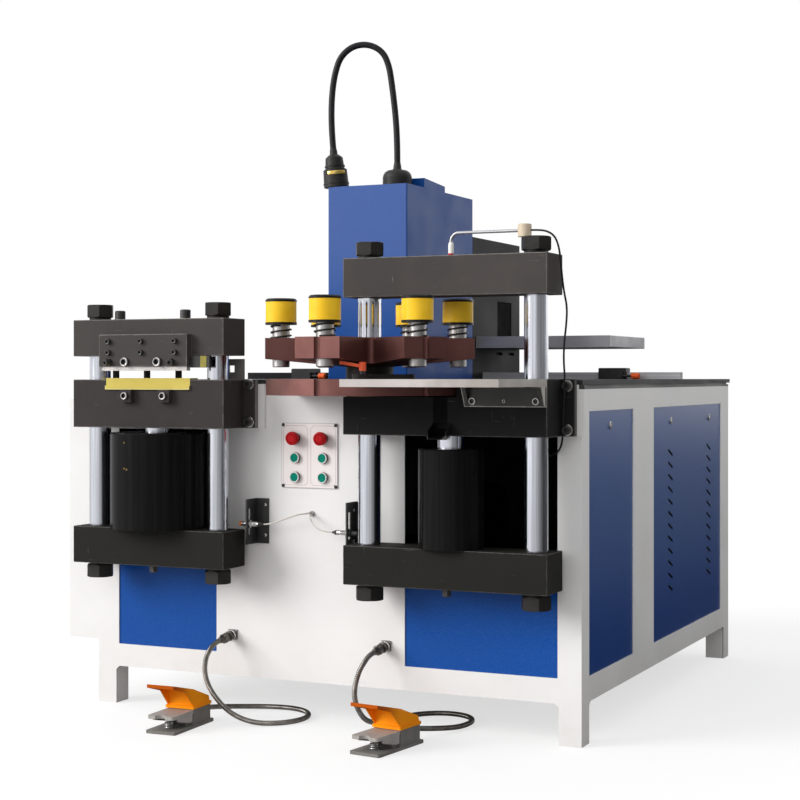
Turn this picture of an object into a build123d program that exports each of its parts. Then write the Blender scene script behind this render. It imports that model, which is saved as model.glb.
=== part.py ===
from build123d import *
from math import asin, cos, pi, radians, sin, sqrt, tan
import os

# Busbar processing machine, millimetres, +Z up. While it is drawn, X = 0 is the
# middle of the cabinet, Y = 0 its front face and Z = 0 the floor.

# Cabinet: folded white sheet on four square legs, with a dark steel table
cabinet_width = 1440.0
cabinet_depth = 1510.0
sheet_thickness = 3.0
leg_width = 60.0
skirt_height = 105.0
skirt_chamfer = 10.0
sheet_gap = 5.0
rail_height = 60.0
table_height = 914.0
table_thickness = 12.0
table_overhang = 4.0

# Windows in the sheets and the blue panels that close them
window_bottom = 168.0
front_lintel = 121.0
shear_window_width = 320.0
shear_window_shift = -24.0
punch_window_width = 420.0
punch_window_shift = 44.0
front_panel_top = 440.0
panel_thickness = 2.0
panel_lap = 12.0
side_lintel = 62.0
first_window_start = 60.0
first_window_length = 380.0
second_window_start = 636.0
second_window_length = 772.0
lock_radius = 9.0
lock_drop = 41.0
vent_count = 12
vent_length = 53.0
vent_width = 8.5
vent_pitch = 36.0
vent_tilt = 68.4
vent_margin = 185.0
vent_stagger = 40.0

# Side box on the left wall and the power pack on the cabinet floor
side_box_width = 100.0
side_box_depth = 300.0
side_box_bottom = 178.0
side_box_drop = 37.0
tank_length = 520.0
tank_depth = 380.0
tank_skin = 25.0
tank_height = 290.0
tank_wall = 8.0
motor_radius = 90.0
motor_length = 250.0

# Presses: a moving frame of two beams, two columns and a cylinder barrel,
# guided by a fixed middle beam that is bolted to the cabinet
press_reach = 82.0
beam_depth = 114.0
beam_height = 100.0
beam_edge = 1.5
column_radius = 30.0
stud_radius = 21.0
bush_wall = 8.0
nut_flats = 68.0
nut_height = 35.0
nut_collar = 8.0
rod_radius = 35.0
barrel_wall = 20.0
barrel_cap = 30.0
piston_height = 40.0
flange_thickness = 24.0
flange_width = 32.0
pad_thickness = 10.0
pad_margin = 20.0
slide_clearance = 0.06
seat_clearance = 0.2

shear_x = -467.0
shear_spacing = 380.0
shear_beam_end = 50.0
shear_daylight = 64.0
shear_middle_height = 131.0
shear_lower_drop = 404.0
shear_barrel_radius = 130.0
shear_barrel_gap = 13.0

punch_x = 403.0
punch_spacing = 455.0
punch_beam_end = 48.5
punch_table_rise = 2.0
punch_daylight = 208.0
punch_middle_height = 142.0
punch_lower_drop = 425.0
punch_barrel_radius = 83.0
punch_barrel_gap = 32.0

# Shear tools: holder plate and upper blade on the moving beam, stepped lower
# blade in a notch of the fixed beam, held by two clamp blocks
holder_width = 280.0
holder_height = 87.0
holder_thickness = 26.0
holder_shift = 3.0
upper_blade_length = 270.0
upper_blade_height = 36.0
upper_blade_thickness = 18.0
blade_gap = 20.0
lower_blade_length = 268.0
lower_blade_height = 31.0
lower_blade_depth = 40.0
lower_blade_lip = 11.0
lip_thickness = 6.0
shear_play = 0.4
clamp_width = 36.0
clamp_height = 34.0
clamp_thickness = 18.0
clamp_spacing = 122.0
post_radius = 9.0
post_height = 31.0
post_pitch = 102.0
post_shift = -48.0
stop_plate_width = 52.0
stop_plate_height = 56.0
stop_window_width = 20.0
stop_window_height = 18.0

# Turret round the left column of the punch press: star above, disc below
turret_rim = 38.5
turret_turn = 27.0
station_count = 6
lower_turret_thickness = 41.0
thrust_washer = 4.0
turret_daylight = 31.0
upper_turret_dish = 20.0
upper_turret_rim_height = 53.0
lobe_width = 126.0
valley_radius = 14.0
notch_radius = 9.0
hub_radius = 61.0
turret_bore_play = 1.0
well_play = 6.0
die_radius = 30.0
die_height = 24.0
die_hole = 15.0
lock_plate_length = 155.0
lock_plate_width = 110.0
lock_plate_thickness = 12.0
lever_length = 58.0
lever_rise = 9.0
lever_angle = 105.0
lever_reach = 190.0
lever_inset = 24.0
lock_tongue_length = 90.0
lock_tongue_width = 44.0
lock_tongue_back = 30.0
lever_boss = 30.0

# Punches: steel shaft, yellow cap between two black rims, return spring
shaft_radius = 22.0
cap_radius = 39.5
cap_height = 67.0
cap_top_rim = 8.0
cap_bottom_rim = 6.0
cap_beam_gap = 2.0
cap_core_radius = 18.0
nose_gap = 30.0
spring_radius = 25.6
spring_wire = 4.4
spring_turns = 2.25
spring_end_gap = 0.3

# Support table in front of the punch press and its scrap chute
support_length = 400.0
support_reach = 320.0
support_thickness = 18.0
bracket_height = 50.0
bracket_thickness = 15.0
bracket_width = 210.0
gusset_thickness = 12.0
chute_width = 52.0
chute_wall = 3.0
chute_reach = 34.0
chute_drop = 40.0

# Tower with its plug and gland, and the bending unit behind it
tower_left = -142.0
tower_width = 248.0
tower_front = 300.0
tower_depth = 487.0
tower_height = 550.0
tower_wall = 5.0
bender_wall = 30.0
tower_cover_width = 80.0
tower_cover_length = 150.0
tower_cover_front = 29.0
tower_cover_rear = 19.0
gland_radius = 42.0
gland_height = 52.0
gland_side = 71.0
gland_back = 90.0
cover_margin = 6.0
cover_setback = 134.0
plug_radius = 28.0
plug_collar_radius = 36.0
plug_height = 97.0
plug_cable_rise = 45.0
plug_side = 11.0
plug_back = 33.0
plug_lean = -5.5
cable_radius = 9.0
bender_depth = 403.0
bender_height = 436.0
slab_length = 428.0
slab_depth = 361.0
slab_rise = 96.0
slab_thickness = 35.0
ram_length = 150.0
ram_width = 122.0
ram_height = 112.0
ram_play = 1.0
bender_slot_count = 3
bender_slot_length = 52.0
bender_slot_height = 9.0
bender_slot_pitch = 105.0
bender_slot_start = 222.0

# Gauge bars on the table with a sliding stop on each
gauge_overhang = 14.0
gauge_setback = 868.0
gauge_width = 24.0
gauge_height = 21.0
stop_length = 86.0
stop_rise = 13.0
stop_wall = 9.0
left_stop_x = -522.0
right_stop_x = 527.0
stop_knob_radius = 9.0
stop_knob_length = 24.0

# Button panel
button_panel_x = -42.0
button_panel_drop = 186.0
button_panel_width = 169.0
button_panel_height = 174.0
button_panel_thickness = 3.0
button_column_pitch = 83.5
button_row_pitch = 52.0
bezel_radius = 14.8
bezel_depth = 9.0
button_radius = 11.5
button_travel_room = 6.0
mushroom_radius = 18.0
mushroom_depth = 14.0
mushroom_stem = 11.0
mushroom_reach = 27.0

# Foot pedals on the floor in front of the machine
pedal_width = 88.0
pedal_length = 207.0
pedal_plate = 8.0
pedal_heel = 13.0
pedal_house_width = 78.0
pedal_house_length = 90.0
hood_seat = 49.0
treadle_width = 78.0
treadle_thickness = 9.0
treadle_top = 47.0
treadle_pin = 3.0
toe_notch_radius = 15.0
hood_width = 84.0
hood_wall = 3.0
hood_lip = 8.0
hood_ridge = 102.0
visor_height = 127.0
visor_thickness = 9.0
left_pedal = (-320.0, -202.0, 2.0)
right_pedal = (282.0, -202.0, -8.0)

# Pointer lamp on the punch frame, sensors and cable outlets on the front sheet
lamp_base_radius = 17.0
lamp_base_height = 32.0
lamp_tube_radius = 4.0
lamp_head_radius = 7.0
lamp_head_length = 36.0
lamp_shift = -30.0
bracket_leg = 58.0
bracket_flange = 40.0
bracket_tall = 122.0
bracket_sheet = 4.0
sensor_radius = 6.0
sensor_length = 64.0
sensor_bracket_rise = 22.0
sensor_rise = 16.0
right_sensor_lead = 6.0
left_sensor_x = -206.0
right_sensor_x = 94.0
sensor_setout = 42.0
grommet_x = -34.5
grommet_rise = 46.0
grommet_radius = 7.0
socket_size = 28.0
socket_flange = 4.0
socket_nose = 28.0
socket_nut = 12.0
socket_straight = 26.0
socket_z = 218.0
left_socket_x = -278.0
right_socket_x = 185.0
conduit_radius = 7.0
socket_drop = 12.0
socket_swing = -14.0
lamp_cable_radius = 2.5
sensor_cable_radius = 2.0

# Places that follow from the sizes above
sheet_top = table_height - table_thickness - sheet_gap
front_window_top = sheet_top - front_lintel
side_window_top = sheet_top - side_lintel
side_box_top = sheet_top - side_box_drop
shear_middle_top = table_height
shear_middle_bottom = shear_middle_top - shear_middle_height
shear_upper_bottom = shear_middle_top + shear_daylight
shear_lower_top = shear_middle_top - shear_lower_drop
punch_middle_top = table_height + punch_table_rise
punch_middle_bottom = punch_middle_top - punch_middle_height
punch_upper_bottom = punch_middle_top + punch_daylight
punch_lower_top = punch_middle_top - punch_lower_drop
slab_bottom = table_height + slab_rise
button_panel_z = sheet_top - button_panel_drop
sensor_bracket_z = shear_lower_top + sensor_bracket_rise
left_sensor_z = shear_lower_top + sensor_rise
right_sensor_z = punch_lower_top + sensor_rise + right_sensor_lead
grommet_z = shear_lower_top + grommet_rise
half_width = cabinet_width / 2
press_y = -press_reach
beam_front = press_y - beam_depth / 2
beam_rear = press_y + beam_depth / 2
flange_rear = -pad_thickness
flange_front = flange_rear - flange_thickness
shear_width = shear_spacing + 2 * shear_beam_end
punch_width = punch_spacing + 2 * punch_beam_end
turret_x = punch_x - punch_spacing / 2
station_radius = punch_spacing / 2
turret_radius = station_radius + turret_rim
turret_bore = column_radius + turret_bore_play
lower_turret_top = punch_middle_top
lower_turret_bottom = lower_turret_top - lower_turret_thickness
turret_seat = lower_turret_bottom - thrust_washer
upper_turret_hub = lower_turret_top + turret_daylight
upper_turret_rim = upper_turret_hub + upper_turret_dish
upper_turret_top = upper_turret_rim + upper_turret_rim_height
well_radius = turret_radius + well_play
cap_top = punch_upper_bottom - cap_beam_gap
cap_bottom = cap_top - cap_height
nose_z = lower_turret_top + nose_gap
tower_right = tower_left + tower_width
tower_rear = tower_front + tower_depth
tower_top = table_height + tower_height
side_box_left = -half_width - side_box_width
gauge_reach = half_width + gauge_overhang
support_front = beam_front - support_reach
origin_x = (side_box_left + gauge_reach) / 2
origin_y = (support_front + cabinet_depth + table_overhang) / 2
origin = Location((-origin_x, -origin_y, 0))


def block(x0, x1, y0, y1, z0, z1):
    return Pos((x0 + x1) / 2, (y0 + y1) / 2, (z0 + z1) / 2) * Box(x1 - x0, y1 - y0, z1 - z0)


def post(x, y, z0, z1, radius):
    return Pos(x, y, (z0 + z1) / 2) * Cylinder(radius, z1 - z0)


def bar_x(x0, x1, y, z, radius):
    return Pos((x0 + x1) / 2, y, z) * Rot(0, 90, 0) * Cylinder(radius, x1 - x0)


def bar_y(x, y0, y1, z, radius):
    return Pos(x, (y0 + y1) / 2, z) * Rot(90, 0, 0) * Cylinder(radius, y1 - y0)


def across(points, x0, x1):
    """Extrude an outline of (y, z) points from x0 to x1."""
    face = make_face(Polyline(*[(x0, y, z) for y, z in points], close=True))
    return extrude(face, x1 - x0, dir=(1, 0, 0))


def along(points, y0, y1):
    """Extrude an outline of (x, z) points from y0 to y1."""
    face = make_face(Polyline(*[(x, y0, z) for x, z in points], close=True))
    return extrude(face, y1 - y0, dir=(0, 1, 0))


def spin(points, x, y):
    """Turn an outline of (radius, z) points about the vertical through x, y."""
    face = make_face(Polyline(*[(r, 0, z) for r, z in points], close=True))
    return Pos(x, y, 0) * revolve(face, Axis.Z)


def save(name, *shapes):
    solids = [solid.moved(origin) for shape in shapes for solid in shape.solids()]
    export_step(Compound(solids), f"parts/{name}.step")


def footed_outline(low, high, foot):
    """Outline of a wall sheet that runs down both legs, with chamfered corners."""
    return [
        (low, 0), (low + foot, 0), (low + foot, skirt_height - skirt_chamfer),
        (low + foot + skirt_chamfer, skirt_height), (high - foot - skirt_chamfer, skirt_height),
        (high - foot, skirt_height - skirt_chamfer), (high - foot, 0), (high, 0),
        (high, sheet_top), (low, sheet_top),
    ]


def station(index):
    """Place of a punch station round the turret's axis."""
    angle = radians(turret_turn + 360 / station_count * index)
    return turret_x + station_radius * cos(angle), press_y + station_radius * sin(angle)


def make_front():
    """Front sheet with the two press windows, cut low where the turret turns."""
    sheet = along(footed_outline(-half_width, half_width, leg_width), 0, sheet_thickness)
    windows = (
        (shear_x + shear_window_shift, shear_window_width),
        (punch_x + punch_window_shift, punch_window_width),
    )
    panels = []
    for middle, width in windows:
        left, right = middle - width / 2, middle + width / 2
        sheet -= block(left, right, -1, sheet_thickness + 1, window_bottom, front_window_top)
        panels.append(block(
            left - panel_lap, right + panel_lap, sheet_thickness, sheet_thickness + panel_thickness,
            window_bottom - panel_lap, front_panel_top))
    sheet -= post(turret_x, press_y, turret_seat, sheet_top + 1, well_radius)
    return sheet, panels


def make_side(side):
    """One side wall with its two windows; side is 1 on the right, -1 on the left."""
    outer = side * half_width
    inner = outer - side * sheet_thickness
    back = inner - side * panel_thickness
    low, high = min(outer, inner), max(outer, inner)
    sheet = across(footed_outline(sheet_thickness, cabinet_depth, leg_width - sheet_thickness), low, high)
    panels = []
    windows = ((first_window_start, first_window_length), (second_window_start, second_window_length))
    for start, length in windows:
        end = start + length
        sheet -= block(low - 1, high + 1, start, end, window_bottom, side_window_top)
        panels.append(block(
            min(inner, back), max(inner, back), start - panel_lap, end + panel_lap,
            window_bottom - panel_lap, side_window_top + panel_lap))
    return sheet, panels


def cut_vents(panel, side):
    """Two columns of short slanted slots in a rear side panel."""
    middle = second_window_start + second_window_length / 2
    top = side_window_top - panel_lap - lock_drop - vent_pitch * 2.3
    x = side * (half_width - sheet_thickness - panel_thickness / 2)
    slot = Rot(90, 0, 90) * SlotOverall(vent_length, vent_width)
    slots = []
    half = second_window_length / 2 - vent_margin
    for y in (middle - half, middle + half + vent_stagger):
        for row in range(vent_count):
            tilted = Pos(x, y, top - row * vent_pitch) * Rot(vent_tilt, 0, 0) * slot
            slots.append(extrude(tilted, panel_thickness, both=True))
    return panel - slots


def make_cabinet():
    front, front_panels = make_front()
    right, right_panels = make_side(1)
    left, left_panels = make_side(-1)
    right_panels[1] = cut_vents(right_panels[1], 1)
    left_panels[1] = cut_vents(left_panels[1], -1)
    inside = half_width - sheet_thickness
    rear = block(
        -inside, inside, cabinet_depth - sheet_thickness, cabinet_depth, skirt_height, sheet_top)
    box = block(side_box_left, -half_width, 0, side_box_depth, side_box_bottom, side_box_top)
    box -= block(
        side_box_left + sheet_thickness, -half_width - sheet_thickness, sheet_thickness,
        side_box_depth - sheet_thickness, side_box_bottom - 1, side_box_top - sheet_thickness)
    box_bottom = block(
        side_box_left + sheet_thickness, -half_width - sheet_thickness, sheet_thickness,
        side_box_depth - sheet_thickness, side_box_bottom, side_box_bottom + sheet_thickness)
    save("side_sheets", right, left, rear, box, box_bottom)
    save("blue_panels", *front_panels, *right_panels, *left_panels)

    rail_top = table_height - table_thickness
    rail_bottom = rail_top - rail_height
    back = cabinet_depth - sheet_thickness
    inner_x = half_width - leg_width
    inner_y = cabinet_depth - leg_width
    panel_room = sheet_thickness + panel_thickness
    frame = []
    for x0, x1 in ((-inside + panel_thickness, -inner_x), (inner_x, inside - panel_thickness)):
        frame.append(block(x0, x1, panel_room, leg_width, 0, rail_top))
        frame.append(block(x0, x1, inner_y, back, 0, rail_top))
        frame.append(block(x0, x1, leg_width, inner_y, rail_bottom, rail_top))
    frame.append(block(-inner_x, inner_x, inner_y, back, rail_bottom, rail_top))
    notch_left = turret_x - well_radius
    notch_right = turret_x + well_radius
    frame.append(block(-inner_x, notch_left, sheet_thickness, leg_width, rail_bottom, rail_top))
    frame.append(block(notch_right, inner_x, sheet_thickness, leg_width, rail_bottom, rail_top))

    tray_room = panel_room + 1
    tray = block(
        -half_width + tray_room, half_width - tray_room, tray_room, back - 1,
        skirt_height, skirt_height + sheet_thickness)
    for x0, x1 in ((-half_width, -inner_x), (inner_x, half_width)):
        for y0, y1 in ((0, leg_width), (inner_y, cabinet_depth)):
            tray -= block(x0, x1, y0, y1, 0, sheet_top)
    save("cabinet_frame", *frame, tray)

    top = block(
        -half_width - table_overhang, half_width + table_overhang,
        -table_overhang, cabinet_depth + table_overhang,
        rail_top, table_height)
    top -= post(turret_x, press_y, rail_top - 1, table_height + 1, well_radius)

    floor = skirt_height + sheet_thickness
    tank_y = cabinet_depth / 2 + tank_depth / 2
    tank = fillet(block(
        -tank_length / 2, tank_length / 2, tank_y - tank_depth / 2, tank_y + tank_depth / 2,
        floor, floor + tank_height).edges().filter_by(Axis.Z), 20)
    inner_length = tank_length - 2 * tank_skin
    inner_depth = tank_depth - 2 * tank_skin
    tank -= block(
        -inner_length / 2, inner_length / 2, tank_y - inner_depth / 2, tank_y + inner_depth / 2,
        floor - 1, floor + tank_height - tank_wall)
    lid = floor + tank_height
    motor = bar_x(-motor_length / 2, motor_length / 2, tank_y, lid + motor_radius + 10, motor_radius)
    foot = block(-90, 90, tank_y - 60, tank_y + 60, lid, lid + 40) - motor
    save("power_pack", tank, motor, foot)
    return front, top


def beam(x, width, z0, z1):
    """Plain forged beam with broken edges."""
    body = block(x - width / 2, x + width / 2, beam_front, beam_rear, z0, z1)
    return chamfer(body.edges(), beam_edge)


def hex_nut(x, z, up):
    """Hexagon nut on a round collar, both faces chamfered; up is 1 or -1."""
    body = extrude(RegularPolygon(nut_flats / 2, 6, major_radius=False), nut_height)
    reach = nut_flats / sqrt(3)
    slope = (reach - nut_flats / 2) * tan(radians(30))
    trim = spin([
        (0, 0), (nut_flats / 2, 0), (reach, slope), (reach, nut_height - slope),
        (nut_flats / 2, nut_height), (0, nut_height)], 0, 0)
    collar = post(0, 0, -nut_collar, 0, nut_flats / 2 - 4)
    bore = post(0, 0, -nut_collar - 1, nut_height + 1, stud_radius + seat_clearance)
    nut = (body & trim) + collar - bore
    turn = Rot(0, 0, 0) if up > 0 else Rot(180, 0, 0)
    return Pos(x, press_y, z + up * nut_collar) * turn * nut


def make_press(name, x, width, spacing, upper_bottom, lower_top, middle_bottom, barrel_radius, barrel_gap):
    """Moving frame of one press, with the fixed rod that it slides on."""
    upper_top = upper_bottom + beam_height
    lower_bottom = lower_top - beam_height
    columns, nuts = [], []
    upper = beam(x, width, upper_bottom, upper_top)
    lower = beam(x, width, lower_bottom, lower_top)
    for column_x in (x - spacing / 2, x + spacing / 2):
        stud_low = lower_bottom - nut_collar - nut_height
        stud_high = upper_top + nut_collar + nut_height
        column = post(column_x, press_y, lower_top, upper_bottom, column_radius)
        columns.append(column + post(column_x, press_y, stud_low, stud_high, stud_radius))
        hole = post(column_x, press_y, lower_bottom - 1, upper_top + 1, stud_radius + seat_clearance)
        upper -= hole
        lower -= hole
        nuts.append(hex_nut(column_x, upper_top, 1))
        nuts.append(hex_nut(column_x, lower_bottom, -1))
    barrel_top = middle_bottom - barrel_gap
    bore = barrel_radius - barrel_wall
    barrel = post(x, press_y, lower_top, barrel_top, barrel_radius)
    barrel = chamfer(barrel.edges().group_by(Axis.Z)[-1], 3)
    barrel -= post(x, press_y, lower_top + barrel_cap, barrel_top - barrel_cap, bore)
    barrel -= post(x, press_y, lower_top + barrel_cap, barrel_top + 1, rod_radius + slide_clearance)
    piston_low = lower_top + barrel_cap + 5
    rod = post(x, press_y, piston_low, middle_bottom, rod_radius)
    rod += post(x, press_y, piston_low, piston_low + piston_height, bore - slide_clearance)
    save(f"{name}_upper_beam", upper)
    save(f"{name}_lower_beam", lower)
    save(f"{name}_columns", *columns)
    save(f"{name}_nuts", *nuts)
    save(f"{name}_barrel", barrel)
    return rod


def middle_beam(x, width, spacing, bottom, top, left_flange):
    """Fixed beam with its bolting flange, bored for the guide bushes."""
    body = block(x - width / 2, x + width / 2, beam_front, flange_front, bottom, top)
    body = chamfer(body.edges().group_by(Axis.Y)[0], beam_edge)
    flange = block(
        x - width / 2 - left_flange, x + width / 2 + flange_width, flange_front, flange_rear, bottom, top)
    body += flange
    bushes = []
    bush_radius = column_radius + bush_wall
    for column_x in (x - spacing / 2, x + spacing / 2):
        body -= post(column_x, press_y, bottom - 1, top + 1, bush_radius)
        bush = post(column_x, press_y, bottom, top, bush_radius)
        bushes.append(bush - post(column_x, press_y, bottom - 1, top + 1, column_radius + slide_clearance))
    pad = block(
        x - width / 2 - left_flange, x + width / 2 + flange_width + pad_margin, flange_rear, 0,
        bottom, table_height - table_thickness)
    return body, bushes, pad


def make_shear():
    rod = make_press(
        "shear", shear_x, shear_width, shear_spacing, shear_upper_bottom, shear_lower_top,
        shear_middle_bottom, shear_barrel_radius, shear_barrel_gap)
    left_flange = half_width + shear_x - shear_width / 2
    body, bushes, pad = middle_beam(
        shear_x, shear_width, shear_spacing, shear_middle_bottom, shear_middle_top, left_flange)
    lower_bottom = shear_middle_top - lower_blade_height + 4
    blade_left = shear_x + holder_shift - lower_blade_length / 2
    blade_right = blade_left + lower_blade_length
    body -= block(
        blade_left, blade_right, beam_front - 1, beam_front + lower_blade_depth,
        lower_bottom, shear_middle_top + 1)
    lower_blade = across([
        (beam_front - lip_thickness, lower_bottom), (beam_front + lower_blade_depth, lower_bottom),
        (beam_front + lower_blade_depth, lower_bottom + lower_blade_height),
        (beam_front, lower_bottom + lower_blade_height), (beam_front, lower_bottom + lower_blade_lip),
        (beam_front - lip_thickness, lower_bottom + lower_blade_lip)], blade_left, blade_right)
    clamps = []
    for offset in (-clamp_spacing / 2, clamp_spacing / 2):
        clamp_x = shear_x + holder_shift + offset
        clamps.append(block(
            clamp_x - clamp_width / 2, clamp_x + clamp_width / 2,
            beam_front - clamp_thickness, beam_front, lower_bottom - clamp_height, lower_bottom))
    posts = [
        post(shear_x + offset, press_y + 18, shear_middle_top, shear_middle_top + post_height, post_radius)
        for offset in (post_shift - post_pitch, post_shift, post_shift + post_pitch)]
    stop_right = shear_x + shear_width / 2 - 8
    stop_left = stop_right - stop_plate_width
    stop = block(
        stop_left, stop_right, flange_front + 11, flange_rear - 2,
        shear_middle_top, shear_middle_top + stop_plate_height)
    stop -= block(
        stop_left + 6, stop_left + 6 + stop_window_width, flange_front, flange_rear,
        shear_middle_top + 20, shear_middle_top + 20 + stop_window_height)
    save("shear_middle_beam", body, *clamps, *posts, stop)
    save("lower_blade", lower_blade)

    blade_top = lower_bottom + lower_blade_height + blade_gap + upper_blade_height
    holder_bottom = blade_top - upper_blade_height + 11
    holder_x = shear_x + holder_shift
    blade_front = beam_front - upper_blade_thickness
    holder = block(
        holder_x - holder_width / 2, holder_x + holder_width / 2,
        beam_front - holder_thickness, beam_front, holder_bottom, holder_bottom + holder_height)
    pocket = block(
        holder_x - upper_blade_length / 2, holder_x + upper_blade_length / 2,
        blade_front, beam_front - shear_play, blade_top - upper_blade_height, blade_top)
    save("blade_holder", chamfer((holder - pocket).edges().group_by(Axis.Y)[0], 1))
    save("upper_blade", pocket)
    return rod, bushes, pad


def make_punch_press():
    rod = make_press(
        "punch", punch_x, punch_width, punch_spacing, punch_upper_bottom, punch_lower_top,
        punch_middle_bottom, punch_barrel_radius, punch_barrel_gap)
    body, bushes, pad = middle_beam(
        punch_x, punch_width, punch_spacing, punch_middle_bottom, punch_middle_top, flange_width)
    seat = post(turret_x, press_y, turret_seat, punch_middle_top + 1, well_radius)
    body -= seat
    bushes = [bush - seat for bush in bushes]
    pad -= seat
    washer = post(turret_x, press_y, turret_seat, lower_turret_bottom, hub_radius)
    washer -= post(turret_x, press_y, turret_seat - 1, lower_turret_bottom + 1, turret_bore)
    chute_left = punch_x - chute_width / 2
    chute_right = punch_x + chute_width / 2
    chute_top = punch_middle_bottom + chute_drop - 8
    chute_back = beam_front + 18
    body -= block(chute_left, chute_right, beam_front - 1, chute_back, punch_middle_bottom - 1, chute_top)
    outline = [
        (chute_back, chute_top), (beam_front, chute_top),
        (beam_front - chute_reach, chute_top - chute_drop / 2),
        (beam_front - chute_reach, chute_top - chute_drop), (chute_back, chute_top - chute_drop / 2)]
    slot = [(y, z + chute_wall * 1.4) for y, z in outline]
    slot[0] = (chute_back + 1, chute_top + chute_drop)
    slot[1] = (beam_front, chute_top + chute_drop)
    slot[2] = (beam_front - chute_reach - 1, chute_top + chute_drop)
    slot[3] = (beam_front - chute_reach - 1, slot[3][1] - 1)
    slot[4] = (chute_back + 1, slot[4][1] + 1)
    chute = across(outline, chute_left, chute_right)
    chute -= across(slot, chute_left + chute_wall, chute_right - chute_wall)
    save("punch_middle_beam", body, chute)

    right = punch_x + punch_width / 2
    table = block(
        right - support_length, right, support_front, beam_front,
        lower_turret_top - support_thickness, lower_turret_top)
    table -= post(turret_x, press_y, lower_turret_bottom, lower_turret_top + 1, well_radius)
    under = lower_turret_top - support_thickness
    table += block(
        right - bracket_width, right, beam_front - bracket_thickness, beam_front,
        under - bracket_height, under)
    gusset = [
        (beam_front - bracket_thickness, under), (beam_front - bracket_thickness, under - bracket_height),
        (beam_front - bracket_thickness - bracket_height / 2, under)]
    for edge in (right - bracket_width, right - gusset_thickness):
        table += across(gusset, edge, edge + gusset_thickness)
    save("support_table", table)
    return rod, bushes + [washer], pad


def make_presses():
    shear_rod, shear_bushes, shear_pad = make_shear()
    punch_rod, punch_bushes, punch_pad = make_punch_press()
    save("press_rods", shear_rod, punch_rod)
    save("guide_bushes", *shear_bushes, *punch_bushes)
    return shear_pad, punch_pad


def make_turret():
    star = None
    for index in range(station_count // 2):
        arm = Rot(0, 0, 180 / (station_count // 2) * index) * Box(
            2 * turret_radius, lobe_width, upper_turret_top - upper_turret_hub)
        star = arm if star is None else star + arm
    valley = lobe_width / 2 / sin(radians(180 / station_count))
    inner = [edge for edge in star.edges().filter_by(Axis.Z) if edge.center().length < valley + 5]
    star = fillet(inner, valley_radius)
    star = Pos(0, 0, (upper_turret_top + upper_turret_hub) / 2) * star
    reach = turret_radius + lobe_width / 2
    dish = spin([
        (0, upper_turret_hub), (hub_radius, upper_turret_hub), (turret_radius, upper_turret_rim),
        (reach, upper_turret_rim), (reach, upper_turret_top), (0, upper_turret_top)], 0, 0)
    star = star & dish
    disc = post(0, 0, lower_turret_bottom, lower_turret_top, turret_radius)
    dies = []
    for index in range(station_count):
        turn = Rot(0, 0, 360 / station_count * index)
        groove = turn * post(turret_radius, 0, lower_turret_bottom - 1, upper_turret_top + 1, notch_radius)
        star -= groove
        star -= turn * post(
            station_radius, 0, upper_turret_hub - 1, upper_turret_top + 1, shaft_radius + slide_clearance)
        disc -= groove
        pocket = post(station_radius, 0, lower_turret_top - die_height, lower_turret_top, die_radius)
        disc -= turn * pocket
        disc -= turn * post(station_radius, 0, lower_turret_bottom - 1, lower_turret_top, die_hole + 4)
        die = post(
            station_radius, 0, lower_turret_top - die_height, lower_turret_top, die_radius - seat_clearance)
        dies.append(turn * (die - post(station_radius, 0, 0, lower_turret_top + 1, die_hole)))
    bore = post(0, 0, lower_turret_bottom - 1, upper_turret_top + 1, turret_bore)
    hub = post(0, 0, lower_turret_top, upper_turret_hub, hub_radius) - bore
    place = Pos(turret_x, press_y, 0) * Rot(0, 0, turret_turn)
    save("turret_upper", place * (star - bore))
    save("turret_lower", place * (disc - bore), *[place * die for die in dies])

    outward = Rot(0, 0, -90)
    plate = Pos(hub_radius + lock_plate_width / 2 - 6, 0, lower_turret_top + lock_plate_thickness / 2) * Box(
        lock_plate_width, lock_plate_length, lock_plate_thickness)
    plate = fillet(plate.edges().filter_by(Axis.Z), 15)
    lever_y = -lock_plate_length / 2 + lever_inset
    plate_middle = lower_turret_top + lock_plate_thickness / 2
    tongue = Pos(lever_reach - lock_tongue_back, lever_y, plate_middle) * Box(
        lock_tongue_length, lock_tongue_width, lock_plate_thickness)
    plate += fillet(tongue.edges().filter_by(Axis.Z), 15)
    plate -= post(0, 0, lower_turret_top - 1, upper_turret_hub, hub_radius)
    plate_top = lower_turret_top + lock_plate_thickness
    save("turret_hub", place * hub, place * outward * Pos(0, 32, 0) * plate)

    boss = post(lever_reach, 0, plate_top, plate_top + 8, 6)
    boss += post(lever_reach, 0, plate_top + 8, plate_top + lever_boss, 9)
    arm_low = plate_top + lever_boss / 2 + 1
    arm = Pos(lever_reach, 0, 0) * extrude(make_face(Polyline(
        (-5, 0, arm_low), (-5, 0, arm_low + 8), (-lever_length, 0, arm_low + 8 + lever_rise),
        (-lever_length, 0, arm_low + lever_rise), close=True)), 5, both=True, dir=(0, 1, 0))
    swing = Pos(lever_reach, 0, 0) * Rot(0, 0, lever_angle) * Pos(-lever_reach, 0, 0)
    save("turret_lever", place * outward * Pos(0, 32 + lever_y, 0) * swing * (boss + arm))


def biarc(start, start_way, end, end_way):
    """Two arcs that leave start along start_way and meet end along end_way."""
    gap = end - start
    ways = start_way + end_way
    bend = 2 * (1 - start_way.dot(end_way))
    pull = gap.dot(ways)
    reach = (sqrt(pull * pull + bend * gap.dot(gap)) - pull) / bend
    near = start + start_way * reach
    far = end - end_way * reach
    middle = (near + far) * 0.5
    return [
        TangentArc(start, middle, tangent=start_way),
        TangentArc(middle, end, tangent=(far - near).normalized())]


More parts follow.
